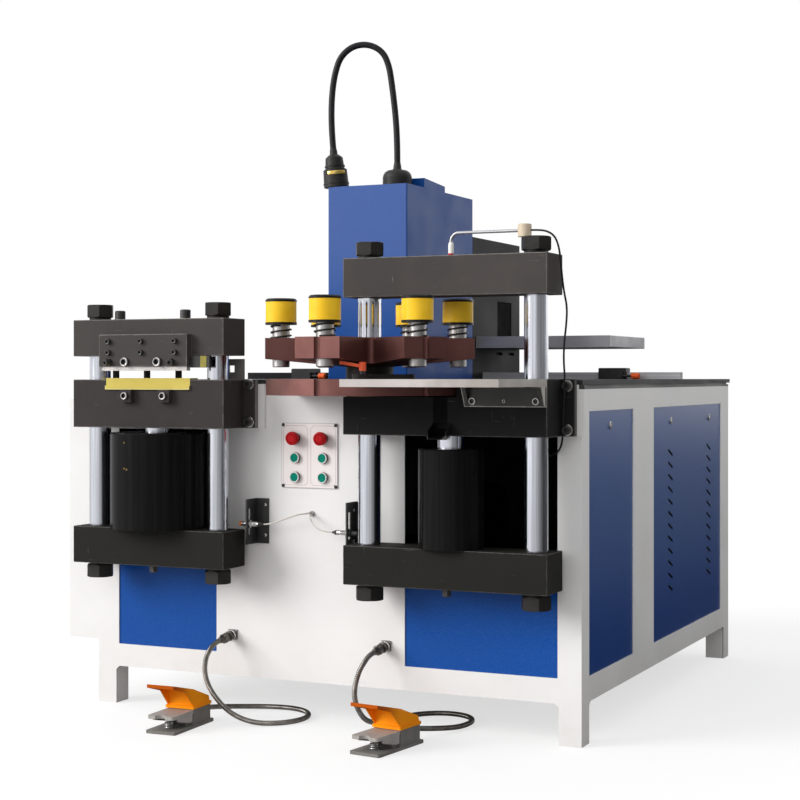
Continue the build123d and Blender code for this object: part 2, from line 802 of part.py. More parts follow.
def make_spring():
    """Return spring about the Z axis, swept along quarter turns of two arcs."""
    low = upper_turret_top + spring_wire / 2
    high = cap_bottom - spring_end_gap - spring_wire / 2
    rise = (high - low) / (spring_turns * 2 * pi)
    quarters = round(spring_turns * 4)

    def place(angle):
        return Vector(spring_radius * cos(angle), spring_radius * sin(angle), low + rise * angle)

    def heading(angle):
        return Vector(-spring_radius * sin(angle), spring_radius * cos(angle), rise).normalized()

    path = []
    step = spring_turns * 2 * pi / quarters
    for quarter in range(quarters):
        first, last = quarter * step, (quarter + 1) * step
        path += biarc(place(first), heading(first), place(last), heading(last))
    section = Plane(origin=place(0), z_dir=heading(0)) * Circle(spring_wire / 2)
    samples = [place(index * 0.1) for index in range(int(spring_turns * 2 * pi / 0.1))]
    gap = min(
        (samples[b] - samples[a]).length - spring_wire
        for a in range(len(samples)) for b in range(a + 40, len(samples)))
    print("spring least gap", round(gap, 2))
    return sweep(section, path=Wire(path))


def make_punches():
    spring = make_spring()
    springs = []
    rim = 1.0
    for index in range(station_count):
        x, y = station(index)
        core = spin([
            (0, nose_z), (shaft_radius - 2, nose_z), (shaft_radius, nose_z + 2), (shaft_radius, cap_bottom),
            (cap_radius + rim, cap_bottom), (cap_radius + rim, cap_bottom + cap_bottom_rim),
            (cap_core_radius, cap_bottom + cap_bottom_rim), (cap_core_radius, cap_top - cap_top_rim),
            (cap_radius + rim, cap_top - cap_top_rim), (cap_radius + rim, cap_top - 4),
            (cap_radius - 3, cap_top), (0, cap_top)], x, y)
        sleeve = post(x, y, cap_bottom + cap_bottom_rim, cap_top - cap_top_rim, cap_radius)
        sleeve -= post(x, y, cap_bottom, cap_top, cap_core_radius + seat_clearance)
        save(f"punch_{index + 1}", core, sleeve)
        springs.append(Pos(x, y, 0) * Rot(0, 0, turret_turn + 60 * index) * spring)
    save("punch_springs", *springs)


def make_tower():
    body = block(tower_left, tower_right, tower_front, tower_rear, table_height, tower_top)
    body = fillet(body.edges().filter_by(Axis.Z), 4)
    body -= block(
        tower_left + tower_wall, tower_right - tower_wall, tower_front + tower_wall, tower_rear - tower_wall,
        table_height - 1, tower_top - tower_wall)
    cover_right = tower_right - cover_margin
    cover_front = tower_front + cover_setback
    cover = across([
        (cover_front, tower_top), (cover_front + tower_cover_length, tower_top),
        (cover_front + tower_cover_length, tower_top + tower_cover_rear),
        (cover_front, tower_top + tower_cover_front)], cover_right - tower_cover_width, cover_right)
    gland_x, gland_y = tower_right - gland_side, tower_front + gland_back
    cover -= post(gland_x, gland_y, tower_top - 1, tower_top + gland_height, gland_radius + 1)
    save("tower_body", body, cover)
    gland_top = tower_top + gland_height
    gland = spin([
        (0, tower_top), (gland_radius, tower_top), (gland_radius, gland_top - 24),
        (gland_radius * 0.95, gland_top - 16), (gland_radius * 0.84, gland_top - 9),
        (gland_radius * 0.66, gland_top - 4), (cable_radius + 7, gland_top - 2),
        (cable_radius + 4, gland_top), (0, gland_top)], gland_x, gland_y)
    plug_x, plug_y = tower_left + plug_side, tower_front + plug_back
    lean = Pos(plug_x, plug_y, tower_top) * Rot(0, plug_lean, 0)
    plug = lean * spin([
        (0, -10), (plug_collar_radius - 3, -10), (plug_collar_radius, 4), (plug_collar_radius - 2, 52),
        (plug_radius, 56), (plug_radius - 3, plug_height - 10), (cable_radius + 7, plug_height - 2),
        (cable_radius + 3, plug_height), (0, plug_height)], 0, 0)
    floor_cut = Box(4 * plug_collar_radius, 4 * plug_collar_radius, plug_height)
    plug -= Pos(plug_x, plug_y, tower_top - plug_height / 2) * floor_cut
    plug_top = (lean * Pos(0, 0, plug_height)).position
    plug_rise = (lean * Pos(0, 0, plug_height + plug_cable_rise)).position
    save("tower_fittings", gland, plug)
    return (gland_x, gland_y, gland_top), tuple(plug_rise), tuple(plug_top)


def make_bender():
    rear = tower_rear + bender_depth
    top = table_height + bender_height
    body = block(tower_left, tower_right, tower_rear, rear, table_height, top)
    body -= block(
        tower_left + bender_wall, tower_right - bender_wall, tower_rear + bender_wall, rear - bender_wall,
        table_height - 1, top - bender_wall)
    slab_front = tower_rear + 28
    slab_top = slab_bottom + slab_thickness
    ram_y = tower_rear + bender_depth / 2 + 65
    ram_low = slab_top + 2
    ram_front = ram_y - ram_width / 2
    ram_rear = ram_y + ram_width / 2
    body -= block(
        tower_right - ram_length - ram_play, tower_right + 1, ram_front - ram_play, ram_rear + ram_play,
        ram_low - ram_play, ram_low + ram_height + ram_play)
    for index in range(bender_slot_count):
        middle = tower_rear + bender_slot_start + bender_slot_pitch * index
        if middle + bender_slot_length / 2 < rear:
            body -= block(
                tower_right - 10, tower_right + 1, middle - bender_slot_length / 2,
                middle + bender_slot_length / 2, slab_bottom - 20, slab_bottom - 20 + bender_slot_height)
    slab = block(
        tower_right, tower_right + slab_length, slab_front, slab_front + slab_depth, slab_bottom, slab_top)
    save("bender_body", body)
    save("bender_slab", chamfer(slab.edges().group_by(Axis.X)[-1], 1.5))
    ram = block(
        tower_right - ram_length, tower_right - 2, ram_front, ram_rear, ram_low, ram_low + ram_height)
    save("bender_ram", ram)


def make_gauge():
    bars = []
    low, high = table_height, table_height + gauge_height
    for x0, x1 in ((-gauge_reach, tower_left), (tower_right, gauge_reach)):
        bars.append(block(x0, x1, gauge_setback, gauge_setback + gauge_width, low, high))
    for name, x in (("left_stop", left_stop_x), ("right_stop", right_stop_x)):
        saddle = block(
            x - stop_length / 2, x + stop_length / 2, gauge_setback - stop_wall,
            gauge_setback + gauge_width + stop_wall, low + 1, high + stop_rise)
        saddle -= block(
            x - stop_length, x + stop_length, gauge_setback - 0.4,
            gauge_setback + gauge_width + 0.4, low, high + 0.4)
        saddle = chamfer(saddle.edges().group_by(Axis.Z)[-1], 2)
        grip_x = x + stop_length / 2
        grip_y = gauge_setback - stop_wall - stop_knob_radius
        stem = bar_x(grip_x - 16, grip_x + 20, grip_y, low + stop_knob_radius + 1, 4)
        lug = block(
            grip_x - 22, grip_x - 8, grip_y - 8, gauge_setback - stop_wall, low + 2, high)
        knob = bar_x(
            grip_x + 20, grip_x + 20 + stop_knob_length, grip_y, low + stop_knob_radius + 1, stop_knob_radius)
        save(name, saddle + lug + stem, fillet(knob.edges(), 2))
    return bars


def make_buttons(sheet):
    """Button panel and buttons; returns the front sheet bored for their stems."""
    front = -button_panel_thickness
    plate = block(
        button_panel_x - button_panel_width / 2, button_panel_x + button_panel_width / 2, front, 0,
        button_panel_z - button_panel_height / 2, button_panel_z + button_panel_height / 2)
    plate = fillet(plate.edges().filter_by(Axis.Y), 4)
    bezels = []
    for column in range(2):
        x = button_panel_x + (column - 0.5) * button_column_pitch
        for row in range(3):
            z = button_panel_z + (1 - row) * button_row_pitch - 6
            bezel = bar_y(x, front - bezel_depth, front, z, bezel_radius)
            bezel = chamfer(bezel.edges().group_by(Axis.Y)[0], 1.5)
            reach = mushroom_stem if row == 0 else button_radius
            well = bar_y(x, front - bezel_depth - 1, front, z, reach + 0.3)
            hole = bar_y(x, front - 1, sheet_thickness + 1, z, reach + 0.3)
            plate -= hole
            sheet -= hole
            bezels.append(bezel - well)
            if row == 0:
                head_front = front - mushroom_reach
                head = bar_y(x, head_front, head_front + mushroom_depth, z, mushroom_radius)
                head = fillet(head.edges().group_by(Axis.Y)[0], 5)
                button = head + bar_y(x, head_front + mushroom_depth, front, z, mushroom_stem)
                save(f"stop_button_{column + 1}", button)
            else:
                button = bar_y(x, front - bezel_depth + 1, front + 1, z, button_radius)
                button = fillet(button.edges().group_by(Axis.Y)[0], 1.5)
                save(f"start_button_{column * 2 + row}", button)
    save("button_panel", plate, *bezels)
    return sheet


def make_pedal(place, side):
    """One foot pedal; its own +Y runs from the toe to the conduit."""
    x, y, angle = place
    spot = Pos(x, y, 0) * Rot(0, 0, angle)
    toe, heel = -pedal_length / 2, pedal_length / 2
    house_rear = heel - pedal_heel
    house_front = house_rear - pedal_house_length
    plate = block(-pedal_width / 2, pedal_width / 2, toe, heel, 0, pedal_plate)
    plate = fillet(plate.edges().filter_by(Axis.Z), 6)
    half_house = pedal_house_width / 2
    house = block(-half_house, half_house, house_front, house_rear, pedal_plate, hood_seat)
    pin_y, pin_z = house_front - 8, treadle_top - treadle_thickness - 8
    half_treadle = treadle_width / 2
    for ear in (-half_treadle + 9, half_treadle - 17):
        house += block(ear, ear + 8, pin_y - 6, house_front, pedal_plate, pin_z + 6)
    house -= bar_x(-half_house, half_house, pin_y, pin_z, treadle_pin + slide_clearance)
    screw = post(0, toe + 46, pedal_plate, pedal_plate + 20, 7)

    treadle = block(
        -half_treadle, half_treadle, toe, house_front - 2, treadle_top - treadle_thickness, treadle_top)
    treadle = fillet(treadle.edges().filter_by(Axis.Z).group_by(Axis.Y)[0], 8)
    treadle -= post(0, toe, 0, treadle_top + 1, toe_notch_radius)
    under = treadle_top - treadle_thickness
    skirt = [
        (house_front - 5, under), (house_front - 5, under - 21), (house_front - 20, under - 21),
        (toe + 30, under - 9), (toe + 24, under)]
    treadle += across(skirt, -half_treadle, -half_treadle + 5)
    treadle += across(skirt, half_treadle - 5, half_treadle)
    treadle += bar_x(-half_treadle + 1, half_treadle - 1, pin_y, pin_z, treadle_pin)

    lip_top = hood_seat + hood_lip
    half_hood = hood_width / 2
    visor_under = visor_height - visor_thickness
    shell = [
        (house_rear - 3, lip_top), (house_rear - 9, lip_top + 15), (house_front, hood_ridge),
        (toe, visor_height), (toe, visor_under), (house_front - 40, visor_under - 18), (house_front, lip_top)]
    hollow = [
        (house_rear - 9, hood_seat - 1), (house_rear - 14, lip_top + 12),
        (house_front + 4, hood_ridge - 7), (house_front + 4, hood_seat - 1)]
    mouth = [
        (house_front, lip_top), (house_front, hood_ridge - 5), (toe - 1, visor_under), (toe - 1, lip_top)]
    hood = across(shell, -half_hood + hood_wall, half_hood - hood_wall)
    hood += block(-half_hood, half_hood, house_front - 5, house_rear + 1, hood_seat, lip_top)
    hood -= across(hollow, -half_hood + 2 * hood_wall, half_hood - 2 * hood_wall)
    hood -= across(mouth, -half_hood + 2 * hood_wall, half_hood - 2 * hood_wall)
    save(f"{side}_treadle", spot * treadle)
    entry = spot * Pos(0, house_rear, hood_seat / 2 + 4)
    approach = spot * Pos(0, house_rear + 30, hood_seat / 2 + 4)
    return spot * (plate + house + screw), spot * hood, tuple(approach.position), tuple(entry.position)


def make_lamp():
    nut_x = punch_x + punch_spacing / 2
    top = punch_upper_bottom + beam_height + nut_collar + nut_height
    base_x = nut_x + lamp_shift
    base = post(base_x, press_y, top, top + lamp_base_height, lamp_base_radius)
    base = chamfer(base.edges().group_by(Axis.Z)[-1], 2)
    tube_z = top + lamp_base_height / 2
    beam_top = punch_upper_bottom + beam_height
    head_top = beam_top + lamp_head_length
    path = FilletPolyline(
        (base_x, press_y, tube_z), (punch_x, press_y, tube_z), (punch_x, press_y, head_top), radius=21)
    tube = sweep(Plane(origin=path @ 0, z_dir=path % 0) * Circle(lamp_tube_radius), path=path)
    head = spin([
        (0, beam_top), (lamp_head_radius - 2, beam_top), (lamp_head_radius, beam_top + 8),
        (lamp_head_radius, head_top - 6), (lamp_tube_radius + 1, head_top), (0, head_top)], punch_x, press_y)
    save("pointer_lamp", base + tube + head)
    return base_x + lamp_base_radius, tube_z


def make_sensors():
    """Proximity sensors on angle brackets that watch the lower beams come home."""
    pieces = []
    for x in (left_sensor_x, right_sensor_x):
        low, high = sensor_bracket_z - bracket_tall / 2, sensor_bracket_z + bracket_tall / 2
        angle = block(x, x + bracket_flange, -bracket_sheet, 0, low, high)
        angle += block(x, x + bracket_sheet, -bracket_leg, 0, low, high)
        slot = SlotOverall(bracket_tall * 0.62, sensor_radius * 2 + 0.6)
        hole = Pos(x, -sensor_setout, sensor_bracket_z) * Rot(0, 90, 0) * slot
        angle -= extrude(hole, bracket_sheet * 3, both=True)
        pieces.append(angle)
    tail = sensor_length * 0.6
    left = bar_x(
        left_sensor_x - sensor_length + tail, left_sensor_x + tail, -sensor_setout,
        left_sensor_z, sensor_radius)
    right = bar_x(
        right_sensor_x - tail, right_sensor_x + sensor_length - tail, -sensor_setout,
        right_sensor_z, sensor_radius)
    for x, body_z in ((left_sensor_x, left_sensor_z), (right_sensor_x, right_sensor_z)):
        for edge in (x - 5, x + bracket_sheet):
            ring = bar_x(edge, edge + 5, -sensor_setout, body_z, sensor_radius + 4)
            if x == left_sensor_x:
                left += ring
            else:
                right += ring
    save("sensors", *pieces, left, right)
    return (left_sensor_x + tail, left_sensor_z), (right_sensor_x - tail, right_sensor_z)


def make_sockets():
    """Square conduit sockets and the rubber grommet for the sensor leads."""
    pieces = []
    exits = []
    reach = socket_nose + socket_nut
    for x in (left_socket_x, right_socket_x):
        flange = block(
            x - socket_size / 2, x + socket_size / 2, -socket_flange, 0,
            socket_z - socket_size / 2, socket_z + socket_size / 2)
        aim = Pos(x, -socket_flange, socket_z) * Rot(0, 0, socket_swing) * Rot(socket_drop, 0, 0)
        nose = aim * bar_y(0, -socket_nose, 0.5, 0, conduit_radius + 2)
        nut = aim * bar_y(0, -reach, -socket_nose, 0, conduit_radius + 4)
        pieces.append(fillet(flange.edges().filter_by(Axis.Y), 3) + nose + nut)
        exits.append([tuple((aim * Pos(0, y, 0)).position) for y in (-reach, -reach - socket_straight)])
    pieces.append(bar_y(grommet_x, -5, 0, grommet_z, grommet_radius))
    save("cable_sockets", *pieces)
    return exits


def cord(name, points, radius):
    """Round cord on straight runs joined by tangent arcs as large as the runs allow."""
    route = [Vector(*point) for point in points]
    radii = []
    for before, corner, after in zip(route, route[1:], route[2:]):
        first, second = corner - before, after - corner
        turn = radians(first.get_angle(second))
        radii.append(0.45 * min(first.length, second.length) / tan(turn / 2))
    path = FilletPolyline(*route, radius=radii)
    tube = sweep(Plane(origin=path @ 0, z_dir=path % 0) * Circle(radius), path=path)
    share = tube.volume / (pi * radius ** 2 * path.length)
    print(name, "length", round(path.length), "volume share", round(share, 4),
          "radii", [round(value) for value in radii])
    return tube


os.makedirs("parts", exist_ok=True)
front_sheet, table_top = make_cabinet()
press_pads = make_presses()
save("front_sheet", make_buttons(front_sheet), *press_pads)
make_turret()
make_punches()
gland_end, plug_rise, plug_end = make_tower()
make_bender()
save("table_top", table_top, *make_gauge())
left_base, left_hood, left_approach, left_entry = make_pedal(left_pedal, "left")
right_base, right_hood, right_approach, right_entry = make_pedal(right_pedal, "right")
save("pedal_bases", left_base, right_base)
save("pedal_hoods", left_hood, right_hood)
lamp_x, lamp_z = make_lamp()
left_lead, right_lead = make_sensors()
left_socket, right_socket = make_sockets()

# Cord routes, each from the piece it leaves to the piece it enters
tower_route = [
    gland_end, (35, 390, 1560), (34, 389, 1612), (31, 388, 1664), (26, 386, 1714), (20, 384, 1764),
    (13, 382, 1812), (-4, 377, 1854), (-43, 365, 1877), (-87, 351, 1873), (-121, 340, 1844),
    (-136, 336, 1802), (-144, 333.5, 1754), (-147, 332, 1704), (-147, 332, 1654), plug_rise, plug_end]
save("tower_cable", cord("tower cable", tower_route, cable_radius))

left_route = [
    *left_socket, (-297, -90, 191), (-298, -109.5, 170.5), (-295, -122, 145.5), (-288, -126.5, 116),
    (-273.5, -126, 87), (-253.5, -121, 60), (-227, -120, 37.5), (-196, -118.5, 21.5), (-163, -114.5, 12),
    (-132, -107, 8), (-99, -90, 7.5), (-74, -63, 7.5), (-60, -28, 7.5), (-58, 9, 7.5),
    (-68, 45, 7.5), (-91, 77, 7.5), (-124, 99, 7.5), (-163, 109, 7.5), (-204, 105, 7.5),
    (-241, 88, 8.5), (-271, 60, 11), (-293, 25, 15.5), (-308, -13, 20.5), (-317, -49, 25.2),
    left_approach, left_entry]
right_route = [
    *right_socket, (166, -89, 191), (159.5, -108, 169.5), (154, -118.5, 142), (149, -118.5, 111),
    (149, -109.5, 82), (151, -92, 58), (150.5, -64, 36), (151.5, -28, 20.5), (154, 11, 12),
    (158, 52, 8), (165, 92, 7.5), (175, 131, 7.5), (190, 166, 7.5), (212, 196, 7.5),
    (249, 219, 7.5), (290, 223, 7.5), (328, 208, 7.5), (354, 179, 7.5), (366, 146, 7.5),
    (366.5, 106, 7.5), (360, 67, 8.5), (347, 28, 12), (332, -11, 17), (316, -47, 22),
    right_approach, right_entry]
save("pedal_conduits", cord("left conduit", left_route, conduit_radius),
     cord("right conduit", right_route, conduit_radius))

lamp_route = [
    (lamp_x, press_y, lamp_z), (lamp_x + 20, press_y, lamp_z), (660, -82, 1279), (678, -81, 1267),
    (688, -80, 1243), (693, -79, 1208), (695.5, -77, 1170), (699, -73, 1132), (706, -68, 1092),
    (702, -64, 1048),
    (695, -59, 1006), (692, -55, 964), (694, -51, 920), (691, -48, 876), (689, -46, 832),
    (687, -45, 790), (682, -38, 757), (668, -20, 738), (649, 0, 728), (628, 18, 722)]
save("lamp_cable", cord("lamp cable", lamp_route, lamp_cable_radius))

left_lead_route = [
    (left_lead[0], -sensor_setout, left_lead[1]), (left_lead[0] + 14, -sensor_setout, left_lead[1]),
    (-134, -41, 530), (-112, -40, 537), (-90, -38, 545), (-70, -35, 552), (-52, -31, 556.5),
    (grommet_x - 2.5, -21, grommet_z + 2), (grommet_x - 2.5, -5, grommet_z + 2)]
right_lead_route = [
    (grommet_x + 2.5, -5, grommet_z - 2), (grommet_x + 2.5, -21, grommet_z - 2), (-23, -33, 543),
    (-9, -39, 528), (9, -42, 517), (right_lead[0] - 20, -sensor_setout, right_lead[1]),
    (right_lead[0], -sensor_setout, right_lead[1])]
save("sensor_cables", cord("left sensor cable", left_lead_route, sensor_cable_radius),
     cord("right sensor cable", right_lead_route, sensor_cable_radius))
print("origin", origin_x, origin_y)
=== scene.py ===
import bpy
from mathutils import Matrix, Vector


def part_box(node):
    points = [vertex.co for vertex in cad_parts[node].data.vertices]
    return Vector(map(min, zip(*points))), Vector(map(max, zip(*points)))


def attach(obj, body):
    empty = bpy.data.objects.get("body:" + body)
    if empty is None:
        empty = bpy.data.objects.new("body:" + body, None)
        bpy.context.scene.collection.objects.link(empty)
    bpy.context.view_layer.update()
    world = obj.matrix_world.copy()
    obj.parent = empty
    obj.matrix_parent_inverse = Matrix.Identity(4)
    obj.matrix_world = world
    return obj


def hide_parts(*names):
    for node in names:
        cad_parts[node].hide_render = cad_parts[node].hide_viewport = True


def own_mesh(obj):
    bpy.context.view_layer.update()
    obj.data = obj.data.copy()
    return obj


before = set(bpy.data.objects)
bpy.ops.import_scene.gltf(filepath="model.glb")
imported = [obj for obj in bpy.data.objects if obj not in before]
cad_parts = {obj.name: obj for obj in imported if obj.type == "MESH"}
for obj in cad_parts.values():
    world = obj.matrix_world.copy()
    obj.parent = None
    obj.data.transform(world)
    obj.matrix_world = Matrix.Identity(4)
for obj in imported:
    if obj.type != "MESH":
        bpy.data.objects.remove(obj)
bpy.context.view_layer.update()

import math

import bmesh
import bpy
from mathutils import Matrix, Vector

# Studio: a pale seamless floor in an even white surround, lit by one broad key light from
# the front left and the surround itself, as for a plain catalogue picture.
scene = bpy.context.scene
scene.view_settings.view_transform = "Standard"


def put(tree, kind, feeds, **settings):
    """One shader node; feeds are its inputs by name or place, each a value or another node's output."""
    made = tree.nodes.new("ShaderNode" + kind)
    for key, value in settings.items():
        setattr(made, key, value)
    for key, value in feeds.items():
        if isinstance(value, bpy.types.NodeSocket):
            tree.links.new(value, made.inputs[key])
        else:
            made.inputs[key].default_value = value
    return made


def sums(work, *feeds):
    """One sum on values and other nodes' outputs, in the tree that those outputs belong to."""
    tree = next(feed.id_data for feed in feeds if isinstance(feed, bpy.types.NodeSocket))
    return put(tree, "Math", dict(enumerate(feeds)), operation=work).outputs[0]


def towards(heading, direction):
    """How far a heading leans to a direction."""
    return put(heading.id_data, "VectorMath", {0: heading, 1: direction}, operation="DOT_PRODUCT").outputs[1]


def fade(value, start, end, low=0.0, high=1.0):
    """Low before start and high past end, smooth between; start may be the larger."""
    feeds = {"Value": value, "From Min": start, "From Max": end, "To Min": low, "To Max": high}
    return put(value.id_data, "MapRange", feeds, interpolation_type="SMOOTHSTEP").outputs[0]


def rays(tree):
    """The kinds of ray, and a mask of those that show a surface itself."""
    kinds = put(tree, "LightPath", {}).outputs
    return kinds, sums("MAXIMUM", kinds["Is Camera Ray"], kinds["Is Transmission Ray"])


front_left, right_hand, rear = (-0.75, -0.96, 0), (0.94, -0.342, 0), (0.30, 0.954, 0)
fill_level, fill_slope = 0.74, 0.33
mirror_level, mirror_dark, mirror_lift = 1.05, 0.30, 0.35
surround = bpy.data.worlds.new("studio_surround")
surround.use_nodes = True
scene.world = surround
tree = surround.node_tree
kinds, seen = rays(tree)
heading = put(tree, "TexCoord", {}).outputs["Generated"]
fill = sums("MULTIPLY_ADD", towards(heading, front_left), fill_slope, fill_level)
mirrored = fade(towards(heading, right_hand), 0.45, 0.85, mirror_level, mirror_dark)
lifted = fade(towards(heading, rear), 0.75, 0.97, 0.0, mirror_lift)
mirrored = sums("ADD", mirrored, lifted)
level = put(tree, "Mix", {0: kinds["Is Glossy Ray"], 2: fill, 3: mirrored}).outputs[0]
backdrop = tree.nodes["Background"].inputs
backdrop["Color"].default_value = (1, 1, 1, 1)
tree.links.new(sums("MAXIMUM", seen, level), backdrop["Strength"])

floor_reach, floor_shade, floor_glow = 45.0, 0.357, 0.66
mirror_slope, mirror_middle, mirror_least = (-0.415, -0.345, 0), 0.40, 0.03
bm = bmesh.new()
bmesh.ops.create_circle(bm, cap_ends=True, radius=floor_reach, segments=96)
floor_mesh = bpy.data.meshes.new("studio_floor")
bm.to_mesh(floor_mesh)
bm.free()
floor = bpy.data.objects.new("studio_floor", floor_mesh)
scene.collection.objects.link(floor)
floor_paint = bpy.data.materials.new("studio_floor")
floor_paint.use_nodes = True
tree = floor_paint.node_tree
shader = tree.nodes["Principled BSDF"]
shader.inputs["Roughness"].default_value = 0.9
shader.inputs["Specular IOR Level"].default_value = 0.1
shader.inputs["Emission Color"].default_value = (1, 1, 1, 1)
kinds, seen = rays(tree)
tree.links.new(sums("MULTIPLY", seen, floor_glow), shader.inputs["Emission Strength"])
heading = put(tree, "TexCoord", {}).outputs["Object"]
heading = put(tree, "VectorMath", {0: heading}, operation="NORMALIZE").outputs[0]
mirrored = sums("ADD", towards(heading, mirror_slope), mirror_middle)
mirrored = sums("MAXIMUM", mirrored, mirror_least)
shade = put(tree, "Mix", {0: kinds["Is Glossy Ray"], 2: floor_shade, 3: mirrored}).outputs[0]
tree.links.new(shade, shader.inputs["Base Color"])
floor_mesh.materials.append(floor_paint)

key_lamp = bpy.data.lights.new("key_light", "SUN")
key_lamp.energy = 2.4
key_lamp.angle = math.radians(32)
key_lamp.color = (1.0, 0.985, 0.97)
key = bpy.data.objects.new("key_light", key_lamp)
key.rotation_mode = "QUATERNION"
key.rotation_quaternion = Vector((-0.70, -0.60, 0.36)).to_track_quat("Z", "Y")
scene.collection.objects.link(key)

# Camera: level, at the standing height and angle of the picture, to the right of the machine.
# The small shift only brings the frame up to the picture's own framing.
lens = bpy.data.cameras.new("camera")
lens.sensor_width = 36.0
lens.lens = 75.086
lens.shift_y = -0.02961
lens.clip_end = 200.0
camera = bpy.data.objects.new("camera", lens)
camera.location = (2.09061, -4.47507, 0.92285)
camera.rotation_euler = (math.radians(90), 0, math.radians(24.8))
scene.collection.objects.link(camera)
scene.camera = camera

# Cabinet sheets: folded steel, satin white enamel baked on, with a faint orange peel, floor dirt
# along the skirt and rub marks; a painted shadow line lies under the table's edge on the sides,
# and the inside is painted near black as painted shade.


def effect(name, inputs, outputs):
    """A shader node group for a look that several finishes share."""
    group = bpy.data.node_groups.new(name, "ShaderNodeTree")
    for label, kind, value in inputs:
        socket = group.interface.new_socket(label, in_out="INPUT", socket_type="NodeSocket" + kind)
        socket.default_value = value
    for label in outputs:
        group.interface.new_socket(label, in_out="OUTPUT", socket_type="NodeSocketFloat")
    return group, group.nodes.new("NodeGroupInput").outputs, group.nodes.new("NodeGroupOutput").inputs


def over(below, mask, above):
    """One colour laid over another through a mask; a colour is three numbers or a node's output."""
    below, above = [(*tone, 1) if isinstance(tone, tuple) else tone for tone in (below, above)]
    return put(mask.id_data, "Mix", {0: mask, 6: below, 7: above}, data_type="RGBA").outputs[2]


def both(*masks):
    """A mask that holds only where all of these do."""
    result = masks[0]
    for mask in masks[1:]:
        result = sums("MULTIPLY", result, mask)
    return result


def off(value, centre):
    """How far a value lies from a centre, on either side."""
    return sums("ABSOLUTE", sums("SUBTRACT", value, centre))


def where_in(tree, scale=None):
    """Where a point lies in the shared frame, stretched by a scale where one is given."""
    where = put(tree, "TexCoord", {}).outputs["Object"]
    if scale is not None:
        where = put(tree, "VectorMath", {0: where, 3: scale}, operation="SCALE").outputs[0]
    return where


def parts(where):
    """The X, Y and Z of a place."""
    return put(where.id_data, "SeparateXYZ", {0: where}).outputs


def speckle(where, size, detail=2.0):
    """Smooth noise of about that many spots to the metre."""
    return put(where.id_data, "TexNoise", {"Vector": where, "Scale": size, "Detail": detail}).outputs[0]


def stretched(where, size, turn=(0, 0, 0)):
    """The same place measured with other lengths along each axis, for drawn-out marks."""
    return put(where.id_data, "Mapping", {"Vector": where, "Rotation": turn, "Scale": size}).outputs[0]


hand_marks, given, result = effect("hand_marks", [("Scale", "Float", 1.0)], ["Cloud", "Scratch", "Grain"])
where = where_in(hand_marks, given["Scale"])
level_lines = speckle(stretched(where, (6, 190, 190), (0, 0.12, 0)), 1.0)
level_lines = fade(level_lines, 0.66, 0.74)
slant_lines = speckle(stretched(where, (170, 170, 9), (0.3, 0.9, 0.2)), 1.0)
slant_lines = fade(slant_lines, 0.70, 0.76)
broken = fade(speckle(where, 11.0, 3.0), 0.50, 0.66)
scratches = both(sums("MAXIMUM", level_lines, slant_lines), broken)
hand_marks.links.new(speckle(where, 5.0, 5.0), result["Cloud"])
hand_marks.links.new(scratches, result["Scratch"])
hand_marks.links.new(speckle(where, 420.0), result["Grain"])

floor_dirt, given, result = effect("floor_dirt", [("Height", "Float", 0.2)], ["Dirt"])
where = where_in(floor_dirt)
height = parts(where)["Z"]
near = fade(sums("DIVIDE", height, given["Height"]), 1.0, 0.0)
floor_dirt.links.new(both(near, speckle(where, 26.0, 6.0)), result["Dirt"])


class Coat:
    """A finish: two close tones in clouds, fine scratches over them, and a grain that the light catches."""

    def __init__(self, name, colour, patch, rough, metal=0.0, scale=1.0, scratch=None, share=0.0, bump=0.1,
                 gleam=0.5):
        self.material = bpy.data.materials.new(name)
        self.material.use_nodes = True
        self.tree = self.material.node_tree
        self.shader = self.tree.nodes["Principled BSDF"]
        self.shader.inputs["Metallic"].default_value = metal
        self.shader.inputs["Specular IOR Level"].default_value = gleam
        marks = put(self.tree, "Group", {"Scale": scale}, node_tree=hand_marks).outputs
        self.tone = colour
        self.lay(fade(marks["Cloud"], 0.36, 0.66), patch)
        if scratch:
            self.lay(marks["Scratch"], scratch, share)
        self.dull(marks["Cloud"], 0.3, 0.7, rough * 0.82, rough * 1.18)
        raised = put(self.tree, "Bump", {"Height": marks["Grain"], "Strength": bump, "Distance": 0.0006})
        self.feed("Normal", raised.outputs[0])

    def feed(self, socket, value):
        """Lets a node's output set one socket of the shader."""
        self.tree.links.new(value, self.shader.inputs[socket])

    def lay(self, mask, colour, share=1.0):
        """Lays one more colour over the tone through a mask, as strongly as the share says."""
        if share < 1.0:
            mask = sums("MULTIPLY", mask, share)
        self.tone = over(self.tone, mask, colour)
        self.feed("Base Color", self.tone)

    def dull(self, value, start, end, low, high):
        """Roughness that goes from low to high as a value goes from start to end."""
        feeds = {"Value": value, "From Min": start, "From Max": end, "To Min": low, "To Max": high}
        self.feed("Roughness", put(self.tree, "MapRange", feeds).outputs[0])


def dress(finish, *nodes):
    """Gives CAD nodes their finish."""
    for name in nodes:
        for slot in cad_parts[name].material_slots:
            slot.material = finish.material


middle_x, front_y = 43, -527.5


def place(x, y, z):
    """A place in millimetres from the cabinet's middle, its front face and the floor, in the shared frame."""
    return Vector(((x + middle_x) / 1000, (y + front_y) / 1000, z / 1000))


